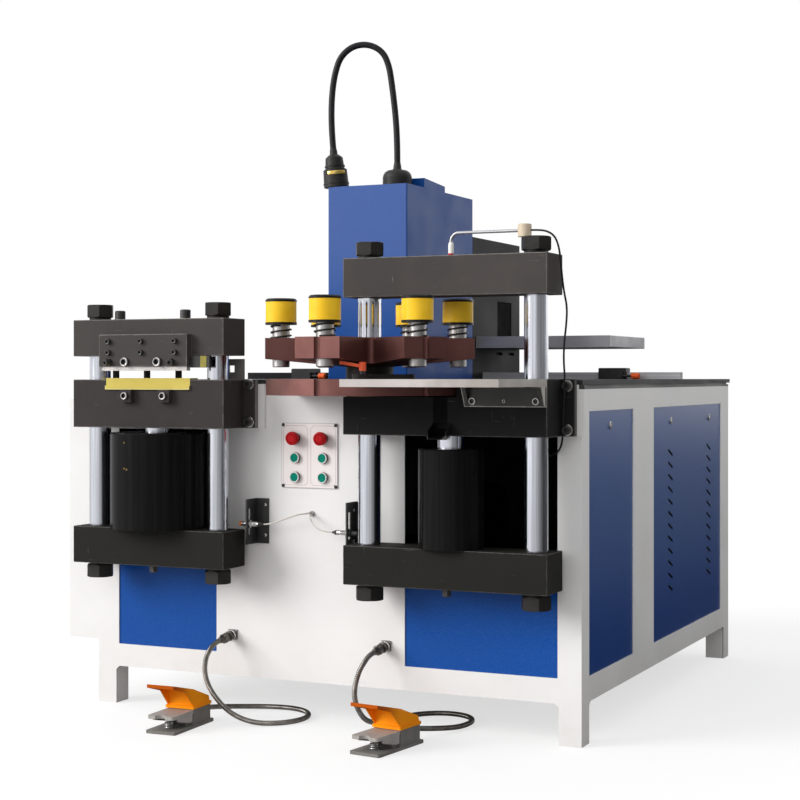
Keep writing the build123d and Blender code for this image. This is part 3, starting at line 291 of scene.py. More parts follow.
cabinet_middle = middle_x / 1000
skirt_height, shadow_line_low, shadow_line_out = 0.26, 0.8902, 0.7160
inner_side, inner_front, inner_rear, inner_floor, hair = 0.7171, -0.5246, 0.9796, 0.165, 0.0003
white_enamel = Coat(
    "white_enamel", (0.83, 0.82, 0.81), (0.86, 0.85, 0.845), 0.42, bump=0.05, scratch=(0.62, 0.61, 0.60),
    share=0.25)
tree = white_enamel.tree
dirt = put(tree, "Group", {"Height": skirt_height}, node_tree=floor_dirt).outputs["Dirt"]
white_enamel.lay(dirt, (0.55, 0.52, 0.49), 0.35)
spread = parts(where_in(tree))
aside = off(spread["X"], cabinet_middle)
# Painted shadow: a near-black line along the top of the side sheets, where the table's overhang shades them.
table_shadow_line = both(fade(spread["Z"], shadow_line_low, shadow_line_low + 0.001),
            fade(aside, shadow_line_out, shadow_line_out + 0.0008))
white_enamel.lay(table_shadow_line, (0.03, 0.03, 0.032))
# Painted shade: the inner faces of the sheets are painted near black for the dark inside of the cabinet.
inside = both(fade(aside, inner_side + hair, inner_side),
              fade(spread["Y"], inner_front - hair, inner_front),
              fade(spread["Y"], inner_rear + hair, inner_rear),
              fade(spread["Z"], inner_floor - 0.005, inner_floor))
white_enamel.lay(inside, (0.012, 0.012, 0.013))
dress(white_enamel, "front_sheet", "side_sheets", "cabinet_frame")

# Blue panels: removable steel sheets with a textured blue powder coat, set behind the cabinet's
# windows; the large ones on the sides have two columns of slanted vent slots punched in them.
# On the side panels a painted sheen lies towards the top and painted shade towards the bottom,
# and the vent slots are painted black to their full width as painted shade.
side_out, gloss, coat_weight = 0.700, 0.27, 0.6
dirt_high, shade_high, shade_low, sheen_low, sheen_high = 0.45, 0.75, 0.15, 0.22, 0.55
column_middle, column_half, vent_top, vent_pitch, vent_rows = 0.5145, 0.221, 0.6992, 0.036, 12
vent_slope, vent_half, vent_edge = math.radians(21.6), 0.02225, 0.0043
powder_blue = Coat(
    "powder_blue", (0.003, 0.068, 0.330), (0.003, 0.070, 0.338), gloss, scale=1.5, bump=0.08,
    scratch=(0.06, 0.13, 0.36), share=0.03, gleam=0.08)
powder_blue.shader.inputs["Coat IOR"].default_value = 1.2
powder_blue.shader.inputs["Coat Roughness"].default_value = 0.26
tree = powder_blue.tree
where = where_in(tree)
spread = parts(where)
dirt = put(tree, "Group", {"Height": dirt_high}, node_tree=floor_dirt).outputs["Dirt"]
powder_blue.lay(dirt, (0.10, 0.12, 0.16), 0.06)
on_side = fade(off(spread["X"], cabinet_middle), side_out, side_out + 0.001)
# Painted shade: the side panels are painted darker towards the bottom.
low_down = fade(spread["Z"], shade_high, shade_low)
powder_blue.lay(both(on_side, low_down), (0.002, 0.022, 0.130), 0.6)
grain = fade(speckle(where, 380.0), 0.40, 0.62)
powder_blue.lay(grain, (0.10, 0.20, 0.50), 0.10)
# Painted sheen: the side panels are painted paler and greyer towards the top, for the reflection of the
# bright surround.
painted_sheen = fade(spread["Z"], sheen_low, sheen_high)
powder_blue.lay(both(on_side, painted_sheen), (0.092, 0.140, 0.265), 0.45)


def span(one, other):
    """The straight distance across two square sides."""
    return sums("SQRT", sums("MULTIPLY_ADD", one, one, sums("MULTIPLY", other, other)))


along = sums("SUBTRACT", spread["Y"], column_middle)
along = sums("SUBTRACT", along, sums("MULTIPLY", sums("SIGN", along), column_half))
row = sums("DIVIDE", sums("SUBTRACT", vent_top + vent_pitch / 2, spread["Z"]), vent_pitch)
rise = sums("MULTIPLY", sums("SUBTRACT", 0.5, sums("FRACT", row)), vent_pitch)
lean, upright = math.sin(vent_slope), math.cos(vent_slope)
lengthwise = sums("MULTIPLY_ADD", along, upright, sums("MULTIPLY", rise, -lean))
crosswise = sums("MULTIPLY_ADD", along, lean, sums("MULTIPLY", rise, upright))
past_end = sums("SUBTRACT", sums("ABSOLUTE", lengthwise), vent_half)
from_slot = span(sums("MAXIMUM", past_end, 0.0), crosswise)
in_rows = both(fade(row, -0.01, 0.01), fade(row, vent_rows + 0.01, vent_rows - 0.01))
# Painted shade: the slots are painted black to their full width, for the dark inside seen through them.
vent_shade = both(fade(from_slot, vent_edge, vent_edge - 0.0005), in_rows, on_side)
powder_blue.lay(vent_shade, (0.001, 0.002, 0.006))
powder_blue.feed("Roughness", put(tree, "Mix", {0: vent_shade, 2: gloss, 3: 0.95}).outputs[0])
powder_blue.feed("Coat Weight", sums("MULTIPLY_ADD", vent_shade, -coat_weight, coat_weight))
dress(powder_blue, "blue_panels")

# Panel locks: quarter-turn locks of plated die casting, pushed through the side panels
# from outside, each with a slotted cam in a round bezel.


def facing(x, y, z, direction):
    """Sets a turned piece at a place with its own height along a direction."""
    return Matrix.Translation(place(x, y, z)) @ Vector(direction).to_track_quat("Z", "Y").to_matrix().to_4x4()


def lathe(bm, outline, spot, sides=28):
    """A turned solid from steps of radius and height in millimetres, with finish and corners unless 0."""
    steps = [(*step, 0, 0)[:4] for step in outline]
    rings = []
    for radius, height, finish, corners in steps:
        ring = []
        for k in range(sides):
            turn = 2 * math.pi * k / sides
            reach = radius
            if corners:
                sector = 2 * math.pi / corners
                reach = radius / math.cos(turn % sector - sector / 2)
            at = Vector((reach * math.cos(turn), reach * math.sin(turn), height)) / 1000
            ring.append(bm.verts.new(spot @ at))
        rings.append(ring)
    for step, (low, high) in enumerate(zip(rings, rings[1:])):
        for k in range(sides):
            face = bm.faces.new((low[k], low[(k + 1) % sides], high[(k + 1) % sides], high[k]))
            face.material_index = steps[step + 1][2]
    bm.faces.new(rings[0][::-1]).material_index = steps[1][2]
    bm.faces.new(rings[-1]).material_index = steps[-1][2]


def piece(bm, name, finishes, body):
    """Closes a mesh into a piece that rides on a body; creases sharper than a gentle bend stay crisp."""
    gentle_bend = math.radians(32)
    bmesh.ops.recalc_face_normals(bm, faces=bm.faces)
    for face in bm.faces:
        face.smooth = True
    for edge in bm.edges:
        if len(edge.link_faces) == 2 and edge.calc_face_angle() > gentle_bend:
            edge.smooth = False
    mesh = bpy.data.meshes.new(name)
    bm.to_mesh(mesh)
    bm.free()
    for finish in finishes:
        mesh.materials.append(finish.material)
    made = bpy.data.objects.new(name, mesh)
    scene.collection.objects.link(made)
    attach(made, body)
    return made


plated_zinc = Coat(
    "plated_zinc", (0.72, 0.71, 0.69), (0.56, 0.55, 0.54), 0.34, metal=1.0, scale=6,
    scratch=(0.2, 0.2, 0.2), share=0.5)
shadow_black = Coat("shadow_black", (0.012, 0.012, 0.012), (0.02, 0.02, 0.02), 0.6, scale=5)
panel_face = 717.5
bm = bmesh.new()
for y, z in ((239, 795), (821, 793), (1264, 793)):
    lathe(bm, [(10, -0.6), (10, 2.2), (9, 3.2), (7.6, 3.2), (7.2, 0.8, 1), (3.9, 0.8, 1), (3.6, 2.6, 0, 3),
               (1.6, 2.8, 0, 3)], facing(panel_face, y, z, (1, 0, 0)), sides=30)
piece(bm, "panel_locks", [plated_zinc, shadow_black], "machine")

# Table plate: a rolled steel plate, blued dark and oiled, that closes the cabinet; the two
# ground flat bars on it guide the gauge stops of the bending unit, the left one blued too.
plate_top, right_bar_start = 0.9143, 0.10
blued_plate = Coat(
    "blued_plate", (0.028, 0.028, 0.030), (0.043, 0.043, 0.046), 0.46, scale=2.2, bump=0.12,
    scratch=(0.26, 0.26, 0.27), share=0.7, gleam=0.12)
where = where_in(blued_plate.tree)
spread = parts(where)
streak = speckle(stretched(where, (3, 700, 700)), 1.0)
bar_tone = over((0.26, 0.26, 0.27), streak, (0.60, 0.60, 0.62))
left_bar = fade(spread["X"], right_bar_start, right_bar_start - 0.05)
bar_tone = over(bar_tone, left_bar, (0.005, 0.005, 0.008))
blued_plate.lay(fade(spread["Z"], plate_top, plate_top + 0.0007), bar_tone)
dress(blued_plate, "table_top")

# Press beams: flame-cut steel blocks, milled and blackened with oil, bored for the columns;
# their sharp corners are painted lighter, partly for rubbing and partly as a painted highlight
# where a bevel would catch the light, and the faces carry faint handling scratches.
corner_inputs = [("Low", "Vector", (0, 0, 0)), ("High", "Vector", (1, 1, 1)), ("Width", "Float", 0.002)]
block_edges, given, result = effect("block_edges", corner_inputs, ["Wear"])
where = where_in(block_edges)
from_low = put(block_edges, "VectorMath", {0: where, 1: given["Low"]}, operation="SUBTRACT").outputs[0]
from_high = put(block_edges, "VectorMath", {0: given["High"], 1: where}, operation="SUBTRACT").outputs[0]
inside = put(block_edges, "VectorMath", {0: from_low, 1: from_high}, operation="MINIMUM").outputs[0]
inside = parts(inside)
smaller = sums("MINIMUM", inside[0], inside[1])
larger = sums("MAXIMUM", inside[0], inside[1])
edge_depth = sums("MAXIMUM", smaller, sums("MINIMUM", larger, inside[2]))
edge_depth = sums("DIVIDE", edge_depth, given["Width"])
ragged = sums("MULTIPLY_ADD", speckle(where, 70.0, 4.0), 1.6, 0.1)
block_edges.links.new(fade(edge_depth, ragged, 0.0), result["Wear"])


def edge_wear_and_highlight(tree, low, high, width):
    """A mask of the corners of a block that lies between two places, for wear and a painted bevel highlight.
    """
    feeds = {"Low": low, "High": high, "Width": width}
    return put(tree, "Group", feeds, node_tree=block_edges).outputs["Wear"]


def blackened(node, colour=(0.058, 0.052, 0.050), patch=(0.072, 0.064, 0.061), worn=1.0, block=None):
    """Oil-blackened steel with rubbed corners and a painted highlight on them; a block is a node's own box
    unless given.
    """
    low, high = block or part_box(node)
    made = Coat("blackened_" + node, colour, patch, 0.75, scale=1.8, bump=0.16, scratch=(0.25, 0.235, 0.225),
                share=0.9 * worn, gleam=0.12)
    made.lay(edge_wear_and_highlight(made.tree, low, high, 0.0032), (0.27, 0.26, 0.25), 0.8 * worn)
    dress(made, node)
    return made


# Tones of one blackened finish: the upper beams' lighter tone holds a painted sheen, the lower beams are
# darker, and the punch's middle beam is darkest, which is painted shade under the support table.
for name in ("shear_upper_beam", "punch_upper_beam", "blade_holder"):
    blackened(name)
for name in ("shear_lower_beam", "punch_lower_beam"):
    blackened(name, (0.014, 0.0136, 0.0118), (0.019, 0.0182, 0.016), worn=0.45)
blackened("shear_middle_beam", (0.042, 0.036, 0.035), (0.052, 0.045, 0.044),
          block=(place(-707, -139, 783), place(-227, -25, 914)))
fixed_black = blackened("punch_middle_beam", (0.011, 0.011, 0.011), (0.016, 0.0155, 0.016), worn=0.5,
                        block=(place(127, -139, 774), place(679, -25, 916)))
channel_left, channel_right, beam_face = 0.423, 0.459, -0.6660
spread = parts(where_in(fixed_black.tree))
# Painted shade: the scrap chute's opening is a black stripe painted on the beam's front.
channel_shade = both(fade(spread["X"], channel_left - 0.003, channel_left),
               fade(spread["X"], channel_right + 0.003, channel_right),
               fade(spread["Y"], beam_face + 0.0005, beam_face))
fixed_black.lay(channel_shade, (0.001, 0.001, 0.001))

# Column nuts: forged hexagon nuts, blackened, on thin collars at both ends of each column,
# with corners burnished by the spanner.
nut_black = Coat(
    "nut_black", (0.016, 0.015, 0.014), (0.026, 0.024, 0.022), 0.46, scale=5, bump=0.25,
    scratch=(0.12, 0.11, 0.10), share=0.5, gleam=0.18)
dress(nut_black, "shear_nuts", "punch_nuts")

# Columns and piston rods: hard-chromed ground bars that tie the beams together, with the
# fine lengthwise polish and oil film of a guide that slides in its bushes.
upright_streaks, given, result = effect("upright_streaks", [("Scale", "Float", 1.0)], ["Streak", "Film"])
where = where_in(upright_streaks, given["Scale"])
polish = speckle(stretched(where, (240, 240, 2.2)), 1.0)
film = speckle(stretched(where, (34, 34, 5)), 1.0, 4.0)
upright_streaks.links.new(polish, result["Streak"])
upright_streaks.links.new(film, result["Film"])


def drawn(name, colour, patch, rough, metal, scale, gleam=0.5):
    """A bar polished or painted along its length."""
    made = Coat(name, colour, patch, rough, metal=metal, scale=2, bump=0.03, gleam=gleam)
    marks = put(made.tree, "Group", {"Scale": scale}, node_tree=upright_streaks).outputs
    made.tone = colour
    made.lay(fade(marks["Streak"], 0.35, 0.65), patch)
    made.dull(marks["Film"], 0.35, 0.7, rough * 0.6, rough * 1.7)
    return made


ground_chrome = drawn("ground_chrome", (0.68, 0.695, 0.75), (0.53, 0.55, 0.605), 0.13, 1.0, 1.0)
dress(ground_chrome, "shear_columns", "punch_columns", "press_rods")

# Guide bushes: turned sleeves of bearing bronze, pressed into the bores of the middle beams,
# where the columns run in them.
bush_bronze = Coat(
    "bush_bronze", (0.10, 0.065, 0.035), (0.15, 0.10, 0.05), 0.4, metal=1.0, scale=4, bump=0.08,
    scratch=(0.35, 0.24, 0.12), share=0.5)
dress(bush_bronze, "guide_bushes")

# Cylinder barrels: thick steel tube with gloss black paint, welded to the lower beams;
# small brass bleed plugs sit in the front of the shear's.
barrel_gloss = drawn("barrel_gloss", (0.005, 0.005, 0.005), (0.009, 0.009, 0.009), 0.26, 0.0, 0.5, 0.07)
dress(barrel_gloss, "shear_barrel", "punch_barrel")
plug_brass = Coat("plug_brass", (0.40, 0.27, 0.10), (0.30, 0.20, 0.08), 0.3, metal=1.0, scale=8)
shear_x, press_y, barrel_radius = -467, -82, 129.6
bm = bmesh.new()
for angle, z in ((-101, 745), (-101, 676.5), (-97, 674)):
    out = Vector((math.cos(math.radians(angle)), math.sin(math.radians(angle)), 0))
    spot = facing(shear_x + barrel_radius * out.x, press_y + barrel_radius * out.y, z, out)
    lathe(bm, [(2.2, -0.4), (2.2, 0.6), (1.8, 1.2, 0, 6), (0.8, 1.2, 0, 6), (0.8, 0.5, 0, 6)], spot, sides=24)
piece(bm, "bleed_plugs", [plug_brass], "shear_frame")

# Power pack: the oil tank, motor foot and motor that stand inside the cabinet, painted dark grey
# and darkened to near black as painted shade; little light reaches them through the press windows.
pack_in_shade = Coat(
    "pack_in_shade", (0.010, 0.0103, 0.011), (0.008, 0.0083, 0.009), 0.6, bump=0.2, scratch=(0.05, 0.05, 0.05),
    share=0.3, gleam=0.04)
dress(pack_in_shade, "power_pack")

# Socket screws: blackened cap screws with a hexagon socket; the ones that are turned most
# often have a bright rubbed rim. They hold the blade holder, clamps and flanges.
screw_black = Coat(
    "screw_black", (0.022, 0.021, 0.020), (0.035, 0.033, 0.031), 0.38, scale=9, bump=0.15,
    scratch=(0.2, 0.19, 0.18), share=0.6)
rim_steel = Coat(
    "rim_steel", (0.62, 0.61, 0.59), (0.42, 0.41, 0.40), 0.26, metal=1.0, scale=9,
    scratch=(0.2, 0.2, 0.2), share=0.5)


def cap_screw(bm, spot, radius, rise, rim=0, washer=0.0):
    """A socket head, on a washer where it has one; rim is the finish of its bevelled edge."""
    bevel = radius * 0.16
    foot = 2.2 if washer else -0.3
    outline = [(washer, -0.3, 1), (washer, 1.6, 1), (washer - 0.8, foot, 1)] if washer else []
    outline += [(radius, foot, 1 if washer else rim), (radius, rise - bevel), (radius - bevel, rise, rim),
                (radius * 0.70, rise, rim), (radius * 0.62, rise - 0.3), (radius * 0.50, rise - 0.3, 0, 6),
                (radius * 0.48, rise - radius * 0.6, 2, 6)]
    lathe(bm, outline, spot, sides=36)


screw_finishes = [screw_black, rim_steel, shadow_black]
front, up = (0, -1, 0), (0, 0, 1)
holder_face, blade_screw_z, beam_top = -165, 961.5, 1078
clamp_face, clamp_z, flange_face, bracket_face, bracket_z = -157, 870, -34, -154, 862
bm = bmesh.new()
for x in (-571.5, -467, -360):
    for z in (1017, 987):
        cap_screw(bm, facing(x, holder_face, z, front), radius=7.6, rise=10)
for x in (-519, -415):
    cap_screw(bm, facing(x, holder_face, blade_screw_z, front), radius=12.5, rise=9, rim=1)
for x, tilt in ((-568, -0.30), (-371, 0.22)):
    cap_screw(bm, facing(x, holder_face + 1, blade_screw_z, (tilt, -1, -0.12)), radius=9, rise=20)
for x in (-591, -380):
    cap_screw(bm, facing(x, press_y, beam_top, up), radius=14.5, rise=26, washer=18.5)
piece(bm, "shear_frame_screws", screw_finishes, "shear_frame")

bm = bmesh.new()
for x in (-525, -403):
    cap_screw(bm, facing(x, clamp_face, clamp_z, front), radius=10.5, rise=8, rim=1)
for x, z in ((694, 899), (694, 789.5), (-209, 902), (-209, 799)):
    cap_screw(bm, facing(x, flange_face, z, front), radius=11.5, rise=13, washer=14.5)
for x, radius, rise in ((490, 9.5, 4), (656, 9.5, 4), (573, 4.5, 2.5)):
    cap_screw(bm, facing(x, bracket_face, bracket_z, front), radius, rise, rim=1)
piece(bm, "fixed_beam_screws", screw_finishes, "machine")

# Holder end plate: a thin black plate that closes the gap between blade holder and right column,
# with a yellow painted stripe; it is screwed to the holder's end and moves with it.
stripe_yellow = Coat(
    "stripe_yellow", (0.30, 0.25, 0.015), (0.24, 0.20, 0.012), 0.5, scale=8,
    scratch=(0.15, 0.12, 0.02), share=0.4)
plate_front, plate_back, plate_low, plate_high = -150, -142, 946, 977
bm = bmesh.new()
for left, right, forward, finish in ((-324.5, -263, 0.0, 0), (-291, -272, 0.6, 1)):
    corner = place(left, plate_front - forward, plate_low + forward)
    other = place(right, plate_back, plate_high)
    size = other - corner
    spot = Matrix.Translation((corner + other) / 2) @ Matrix.Diagonal((size.x, size.y, size.z, 1))
    cube = bmesh.ops.create_cube(bm, size=1, matrix=spot)
    for face in {face for vertex in cube["verts"] for face in vertex.link_faces}:
        face.material_index = finish
piece(bm, "holder_end_plate", [shadow_black, stripe_yellow], "shear_frame")

# Oil plugs: blackened drain plugs with a hexagon neck and a round collar, screwed up into the
# middle of both lower beams.
punch_x, plug_y = 401, -105
for name, x, z, body in (("shear_oil_plug", shear_x, 410, "shear_frame"),
                         ("punch_oil_plug", punch_x, 391, "punch_frame")):
    bm = bmesh.new()
    lathe(bm, [(13, -0.3), (13, 3), (10.5, 4, 0, 6), (10.5, 18, 0, 6), (8.5, 20.5), (3, 20.5)],
          facing(x, plug_y, z, (0, 0, -1)), sides=36)
    piece(bm, name, [screw_black], body)

# Shear blades: the moving blade is ground tool steel in the holder, the fixed one is painted
# yellow on its front as a warning and rubbed bare along the cutting edge.
blade_steel = Coat(
    "blade_steel", (0.50, 0.47, 0.45), (0.38, 0.36, 0.35), 0.34, metal=0.85, scale=3,
    scratch=(0.75, 0.73, 0.70), share=0.6)
dress(blade_steel, "upper_blade")
blade_yellow = Coat(
    "blade_yellow", (0.57, 0.45, 0.055), (0.61, 0.495, 0.08), 0.46, scale=3, bump=0.12,
    scratch=(0.85, 0.76, 0.35), share=0.6)
# Lighter edges on the lower blade: partly rubbed bare, partly a painted highlight.
blade_yellow.lay(edge_wear_and_highlight(blade_yellow.tree, *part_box("lower_blade"), 0.003), (0.82, 0.74, 0.38), 0.7)
dress(blade_yellow, "lower_blade")

# Support table: a ground steel plate on a welded bracket before the turret, the bracket painted
# near black as the plate's shadow on it; bars sliding over it have worn it pale, with dull oily
# patches towards its right end.
plate_under, oil_start, oil_end = 0.8985, 0.63, 0.76
worn_plate = Coat(
    "worn_plate", (0.55, 0.50, 0.485), (0.47, 0.43, 0.415), 0.40, metal=0.2, scale=2.5, bump=0.12,
    scratch=(0.80, 0.77, 0.75), share=0.6)
tree = worn_plate.tree
where = where_in(tree)
spread = parts(where)
oily = sums("MULTIPLY_ADD", speckle(where, 38.0, 6.0), 0.20, spread["X"])
worn_plate.lay(fade(oily, oil_start, oil_end), (0.28, 0.25, 0.22), 0.7)
# Pale bracket edges: partly rubbed, partly a painted highlight.
bracket_edge = edge_wear_and_highlight(tree, place(469, -154, 848), place(679, -139, 898), 0.0035)
# Painted shadow: the bracket under the plate is painted near black.
bracket_shade_tone = over((0.026, 0.026, 0.021), bracket_edge, (0.42, 0.40, 0.36))
worn_plate.lay(fade(spread["Z"], plate_under, plate_under - 0.002), bracket_shade_tone)
dress(worn_plate, "support_table")

# Turret: two turned discs of aluminium, anodised brown, on a common hub round the left punch
# column; the upper one is milled to a six-pointed star and the lower one carries the dies.
turret_x, ring_pitch = 175.5, 900.0
turning_marks, given, result = effect("turning_marks", [("Centre", "Vector", (0, 0, 0))], ["Ring"])
feeds = {0: where_in(turning_marks), 1: given["Centre"]}
local = put(turning_marks, "VectorMath", feeds, operation="SUBTRACT").outputs[0]
local = parts(local)
radius = span(local["X"], local["Y"])
groove = put(turning_marks, "CombineXYZ", {0: sums("MULTIPLY", radius, ring_pitch),
                                           1: sums("MULTIPLY", local["Z"], ring_pitch)})
turning_marks.links.new(speckle(groove.outputs[0], 1.0), result["Ring"])

anodised_brown = Coat(
    "anodised_brown", (0.145, 0.060, 0.053), (0.175, 0.075, 0.066), 0.40, metal=0.7, scale=3, bump=0.06,
    scratch=(0.28, 0.16, 0.14), share=0.5, gleam=0.25)
tree = anodised_brown.tree
ring = put(tree, "Group", {"Centre": place(turret_x, press_y, 900)}, node_tree=turning_marks).outputs["Ring"]
anodised_brown.lay(ring, (0.16, 0.075, 0.066), 0.25)
raised = put(tree, "Bump", {"Height": ring, "Strength": 0.12, "Distance": 0.0004})
anodised_brown.feed("Normal", raised.outputs[0])
dress(anodised_brown, "turret_upper", "turret_lower")
dress(nut_black, "turret_hub")

# Lock lever: a cast clamping lever with orange-red powder coat, turned on a blackened stud
# that clamps the turret at a station.
stud_top = 0.9358
lever_orange = Coat(
    "lever_orange", (0.96, 0.115, 0.025), (1.0, 0.14, 0.035), 0.36, scale=7, bump=0.12,
    scratch=(0.85, 0.35, 0.2), share=0.4)
height = parts(where_in(lever_orange.tree))["Z"]
lever_orange.lay(fade(height, stud_top + 0.0004, stud_top), (0.014, 0.014, 0.014))
dress(lever_orange, "turret_lever")

# Punches: ground steel shafts with yellow sleeves between two black rubber rims; they slide
# down through the star when the beam strikes their caps.
shaft_top, rim_low, rim_high, rim_edge = 1.0547, 1.0606, 1.1132, 0.0012
cap_yellow = Coat(
    "cap_yellow", (0.93, 0.56, 0.018), (0.97, 0.61, 0.026), 0.36, scale=6, bump=0.08,
    scratch=(0.55, 0.33, 0.02), share=0.5, gleam=0.2)
where = where_in(cap_yellow.tree)
height = parts(where)["Z"]
streak = fade(speckle(stretched(where, (260, 260, 6)), 1.0), 0.62, 0.72)
cap_yellow.lay(streak, (0.86, 0.66, 0.12), 0.35)
rims = sums("ADD", fade(height, rim_low + rim_edge, rim_low),
            fade(height, rim_high, rim_high + rim_edge))
cap_yellow.lay(rims, (0.006, 0.006, 0.006))
shaft = fade(height, shaft_top + 0.0006, shaft_top)
polish = speckle(stretched(where, (300, 300, 12)), 1.0)
cap_yellow.lay(shaft, over((0.28, 0.27, 0.265), polish, (0.56, 0.55, 0.535)))
cap_yellow.feed("Metallic", shaft)
dress(cap_yellow, *[f"punch_{k}" for k in range(1, 7)])

# Punch springs: black oil-tempered wire, two and a quarter open coils round each shaft between
# star and cap.


def wire(bm, points, radius, sides=12):
    """A round tube along points in metres; radius is one value or one for each point."""
    radii = radius if isinstance(radius, list) else [radius] * len(points)
    side = None
    rings = []
    for k, at in enumerate(points):
        ahead = (points[min(k + 1, len(points) - 1)] - points[max(k - 1, 0)]).normalized()
        if side is None:
            side = ahead.orthogonal().normalized()
        side = (side - ahead * side.dot(ahead)).normalized()
        other = ahead.cross(side)
        ring = []
        for j in range(sides):
            turn = 2 * math.pi * j / sides
            ring.append(bm.verts.new(at + (side * math.cos(turn) + other * math.sin(turn)) * radii[k]))
        rings.append(ring)
    for low, high in zip(rings, rings[1:]):
        for j in range(sides):
            bm.faces.new((low[j], low[(j + 1) % sides], high[(j + 1) % sides], high[j]))
    bm.faces.new(rings[0][::-1])
    bm.faces.new(rings[-1])


def helix(x, y, low, high, radius, turns, start, steps, closed):
    """Points of a coil about an upright axis, in millimetres; a closed share of it at each end lies level."""
    line = []
    for step in range(steps + 1):
        share = step / steps
        turn = 2 * math.pi * turns * share + start
        rise = min(max((share - closed) / (1 - 2 * closed), 0.0), 1.0)
        z = low + (high - low) * rise
        line.append(place(x + radius * math.cos(turn), y + radius * math.sin(turn), z))
    return line


spring_wire = Coat(
    "spring_wire", (0.020, 0.019, 0.018), (0.034, 0.032, 0.030), 0.34, metal=0.5, scale=12,
    scratch=(0.22, 0.21, 0.2), share=0.6)
station_reach, first_station = 227.5, 27
spring_low, spring_high, spring_radius, wire_radius, coils = 1020.0, 1054.7, 25.6, 2.2, 2.25
for k in range(6):
    turn = math.radians(first_station + 60 * k)
    x, y = turret_x + station_reach * math.cos(turn), press_y + station_reach * math.sin(turn)
    bm = bmesh.new()
    line = helix(x, y, spring_low + wire_radius, spring_high - wire_radius, spring_radius, coils, turn,
                 steps=108, closed=0.06)
    wire(bm, line, wire_radius / 1000)
    spring = piece(bm, f"punch_spring_{k + 1}", [spring_wire], "turret")
    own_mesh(spring)
    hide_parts("punch_springs")

# Pointer lamp: a cream moulded foot on the right nut holds a bent chromed tube that carries the
# lamp head over the punching point; a red collar marks the head's lens end.
foot_start, head_top = 0.6250, 1.2592
lamp_cream = Coat(
    "lamp_cream", (0.61, 0.50, 0.36), (0.66, 0.55, 0.41), 0.5, scale=8,
    scratch=(0.55, 0.48, 0.38), share=0.3)
spread = parts(where_in(lamp_cream.tree))
tube = fade(spread["X"], foot_start + 0.0005, foot_start)
lamp_cream.lay(tube, (0.42, 0.42, 0.44))
head = both(tube, fade(spread["Z"], head_top + 0.0008, head_top))
lamp_cream.lay(head, (0.90, 0.88, 0.85))
lamp_cream.feed("Metallic", sums("SUBTRACT", tube, head))
dress(lamp_cream, "pointer_lamp")
signal_red = Coat(
    "signal_red", (0.46, 0.012, 0.016), (0.51, 0.016, 0.019), 0.36, scale=8, bump=0.05,
    scratch=(0.6, 0.12, 0.12), share=0.3, gleam=0.05)
bm = bmesh.new()
lathe(bm, [(5.0, 0), (6.4, 0.3), (7.0, 1.2), (7.5, 5.6), (7.3, 6.4), (6.4, 6.8)],
      facing(403, press_y, 1225.5, up))
piece(bm, "lamp_collar", [signal_red], "punch_frame")

# Lamp cable: a thin black flex from the lamp's foot, hanging in front of the right column and
# into the cabinet window; it rides with the moving punch frame.


def smooth_line(name, points, fineness):
    """A route's points as the control points of one smooth open curve."""
    data = bpy.data.curves.new(name, "CURVE")
    data.dimensions = "3D"
    data.resolution_u = fineness
    spline = data.splines.new("NURBS")
    spline.points.add(len(points) - 1)
    for knot, at in zip(spline.points, points):
        knot.co = (*place(*at), 1)
    spline.order_u = 3
    spline.use_endpoint_u = True
    made = bpy.data.objects.new(name, data)
    scene.collection.objects.link(made)
    return made


def flex(name, points, radius, finish, body, node):
    """A round free cord that leaves the object at its route's first point and goes back in at its last."""
    made = smooth_line(name, points, 10)
    made.data.bevel_depth = radius / 1000
    made.data.bevel_resolution = 5
    made.data.use_fill_caps = True
    made.data.materials.append(finish.material)
    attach(made, body)
    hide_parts(node)


flex_black = Coat(
    "flex_black", (0.010, 0.010, 0.012), (0.016, 0.016, 0.019), 0.45, scale=9, bump=0.12,
    scratch=(0.06, 0.06, 0.065), share=0.4, gleam=0.22)
lamp_route = [
    (617.5, -82, 1283), (637.5, -82, 1283), (660, -82, 1279), (678, -81, 1267), (688, -80, 1243),
    (693, -79, 1208), (695.5, -77, 1170), (699, -73, 1132), (706, -68, 1092), (702, -64, 1048),
    (695, -59, 1006), (692, -55, 964), (694, -51, 920), (691, -48, 876), (689, -46, 832), (687, -45, 790),
    (682, -38, 757), (668, -20, 738), (649, 0, 728), (628, 18, 722)]
flex("lamp_flex", lamp_route, 2.5, flex_black, "punch_frame", "lamp_cable")

# Bending tower: a welded housing with the same blue powder coat, with a painted sheen towards the
# top of its front, and a sloped cover; a black cable gland and a black locking plug with a gilt
# band stand on it.
sheen_low, sheen_high, tower_face = 1.02, 1.30, -0.2268
tower_blue = Coat(
    "tower_blue", (0.004, 0.066, 0.300), (0.005, 0.070, 0.310), 0.40, scale=1.5, bump=0.12,
    scratch=(0.10, 0.16, 0.40), share=0.05, gleam=0.2)
where = where_in(tower_blue.tree)
spread = parts(where)
# Painted sheen: the front face is painted paler towards the top, for the reflection of the bright surround.
painted_sheen = both(fade(spread["Z"], sheen_low, sheen_high),
            fade(spread["Y"], tower_face + 0.0013, tower_face))
tower_blue.lay(painted_sheen, (0.052, 0.114, 0.348))
grain = fade(speckle(where, 300.0), 0.38, 0.64)
tower_blue.lay(grain, (0.010, 0.070, 0.310), 0.22)
dress(tower_blue, "tower_body")
gland_black = Coat(
    "gland_black", (0.016, 0.0155, 0.015), (0.024, 0.023, 0.022), 0.5, scale=6, bump=0.2,
    scratch=(0.07, 0.066, 0.062), share=0.4, gleam=0.25)
dress(gland_black, "tower_fittings")
band_gold = Coat("band_gold", (0.72, 0.52, 0.16), (0.58, 0.40, 0.10), 0.24, metal=1.0, scale=10, bump=0.06)
plug_lean = math.radians(-5.5)
plug_up = Vector((math.sin(plug_lean), 0, math.cos(plug_lean)))
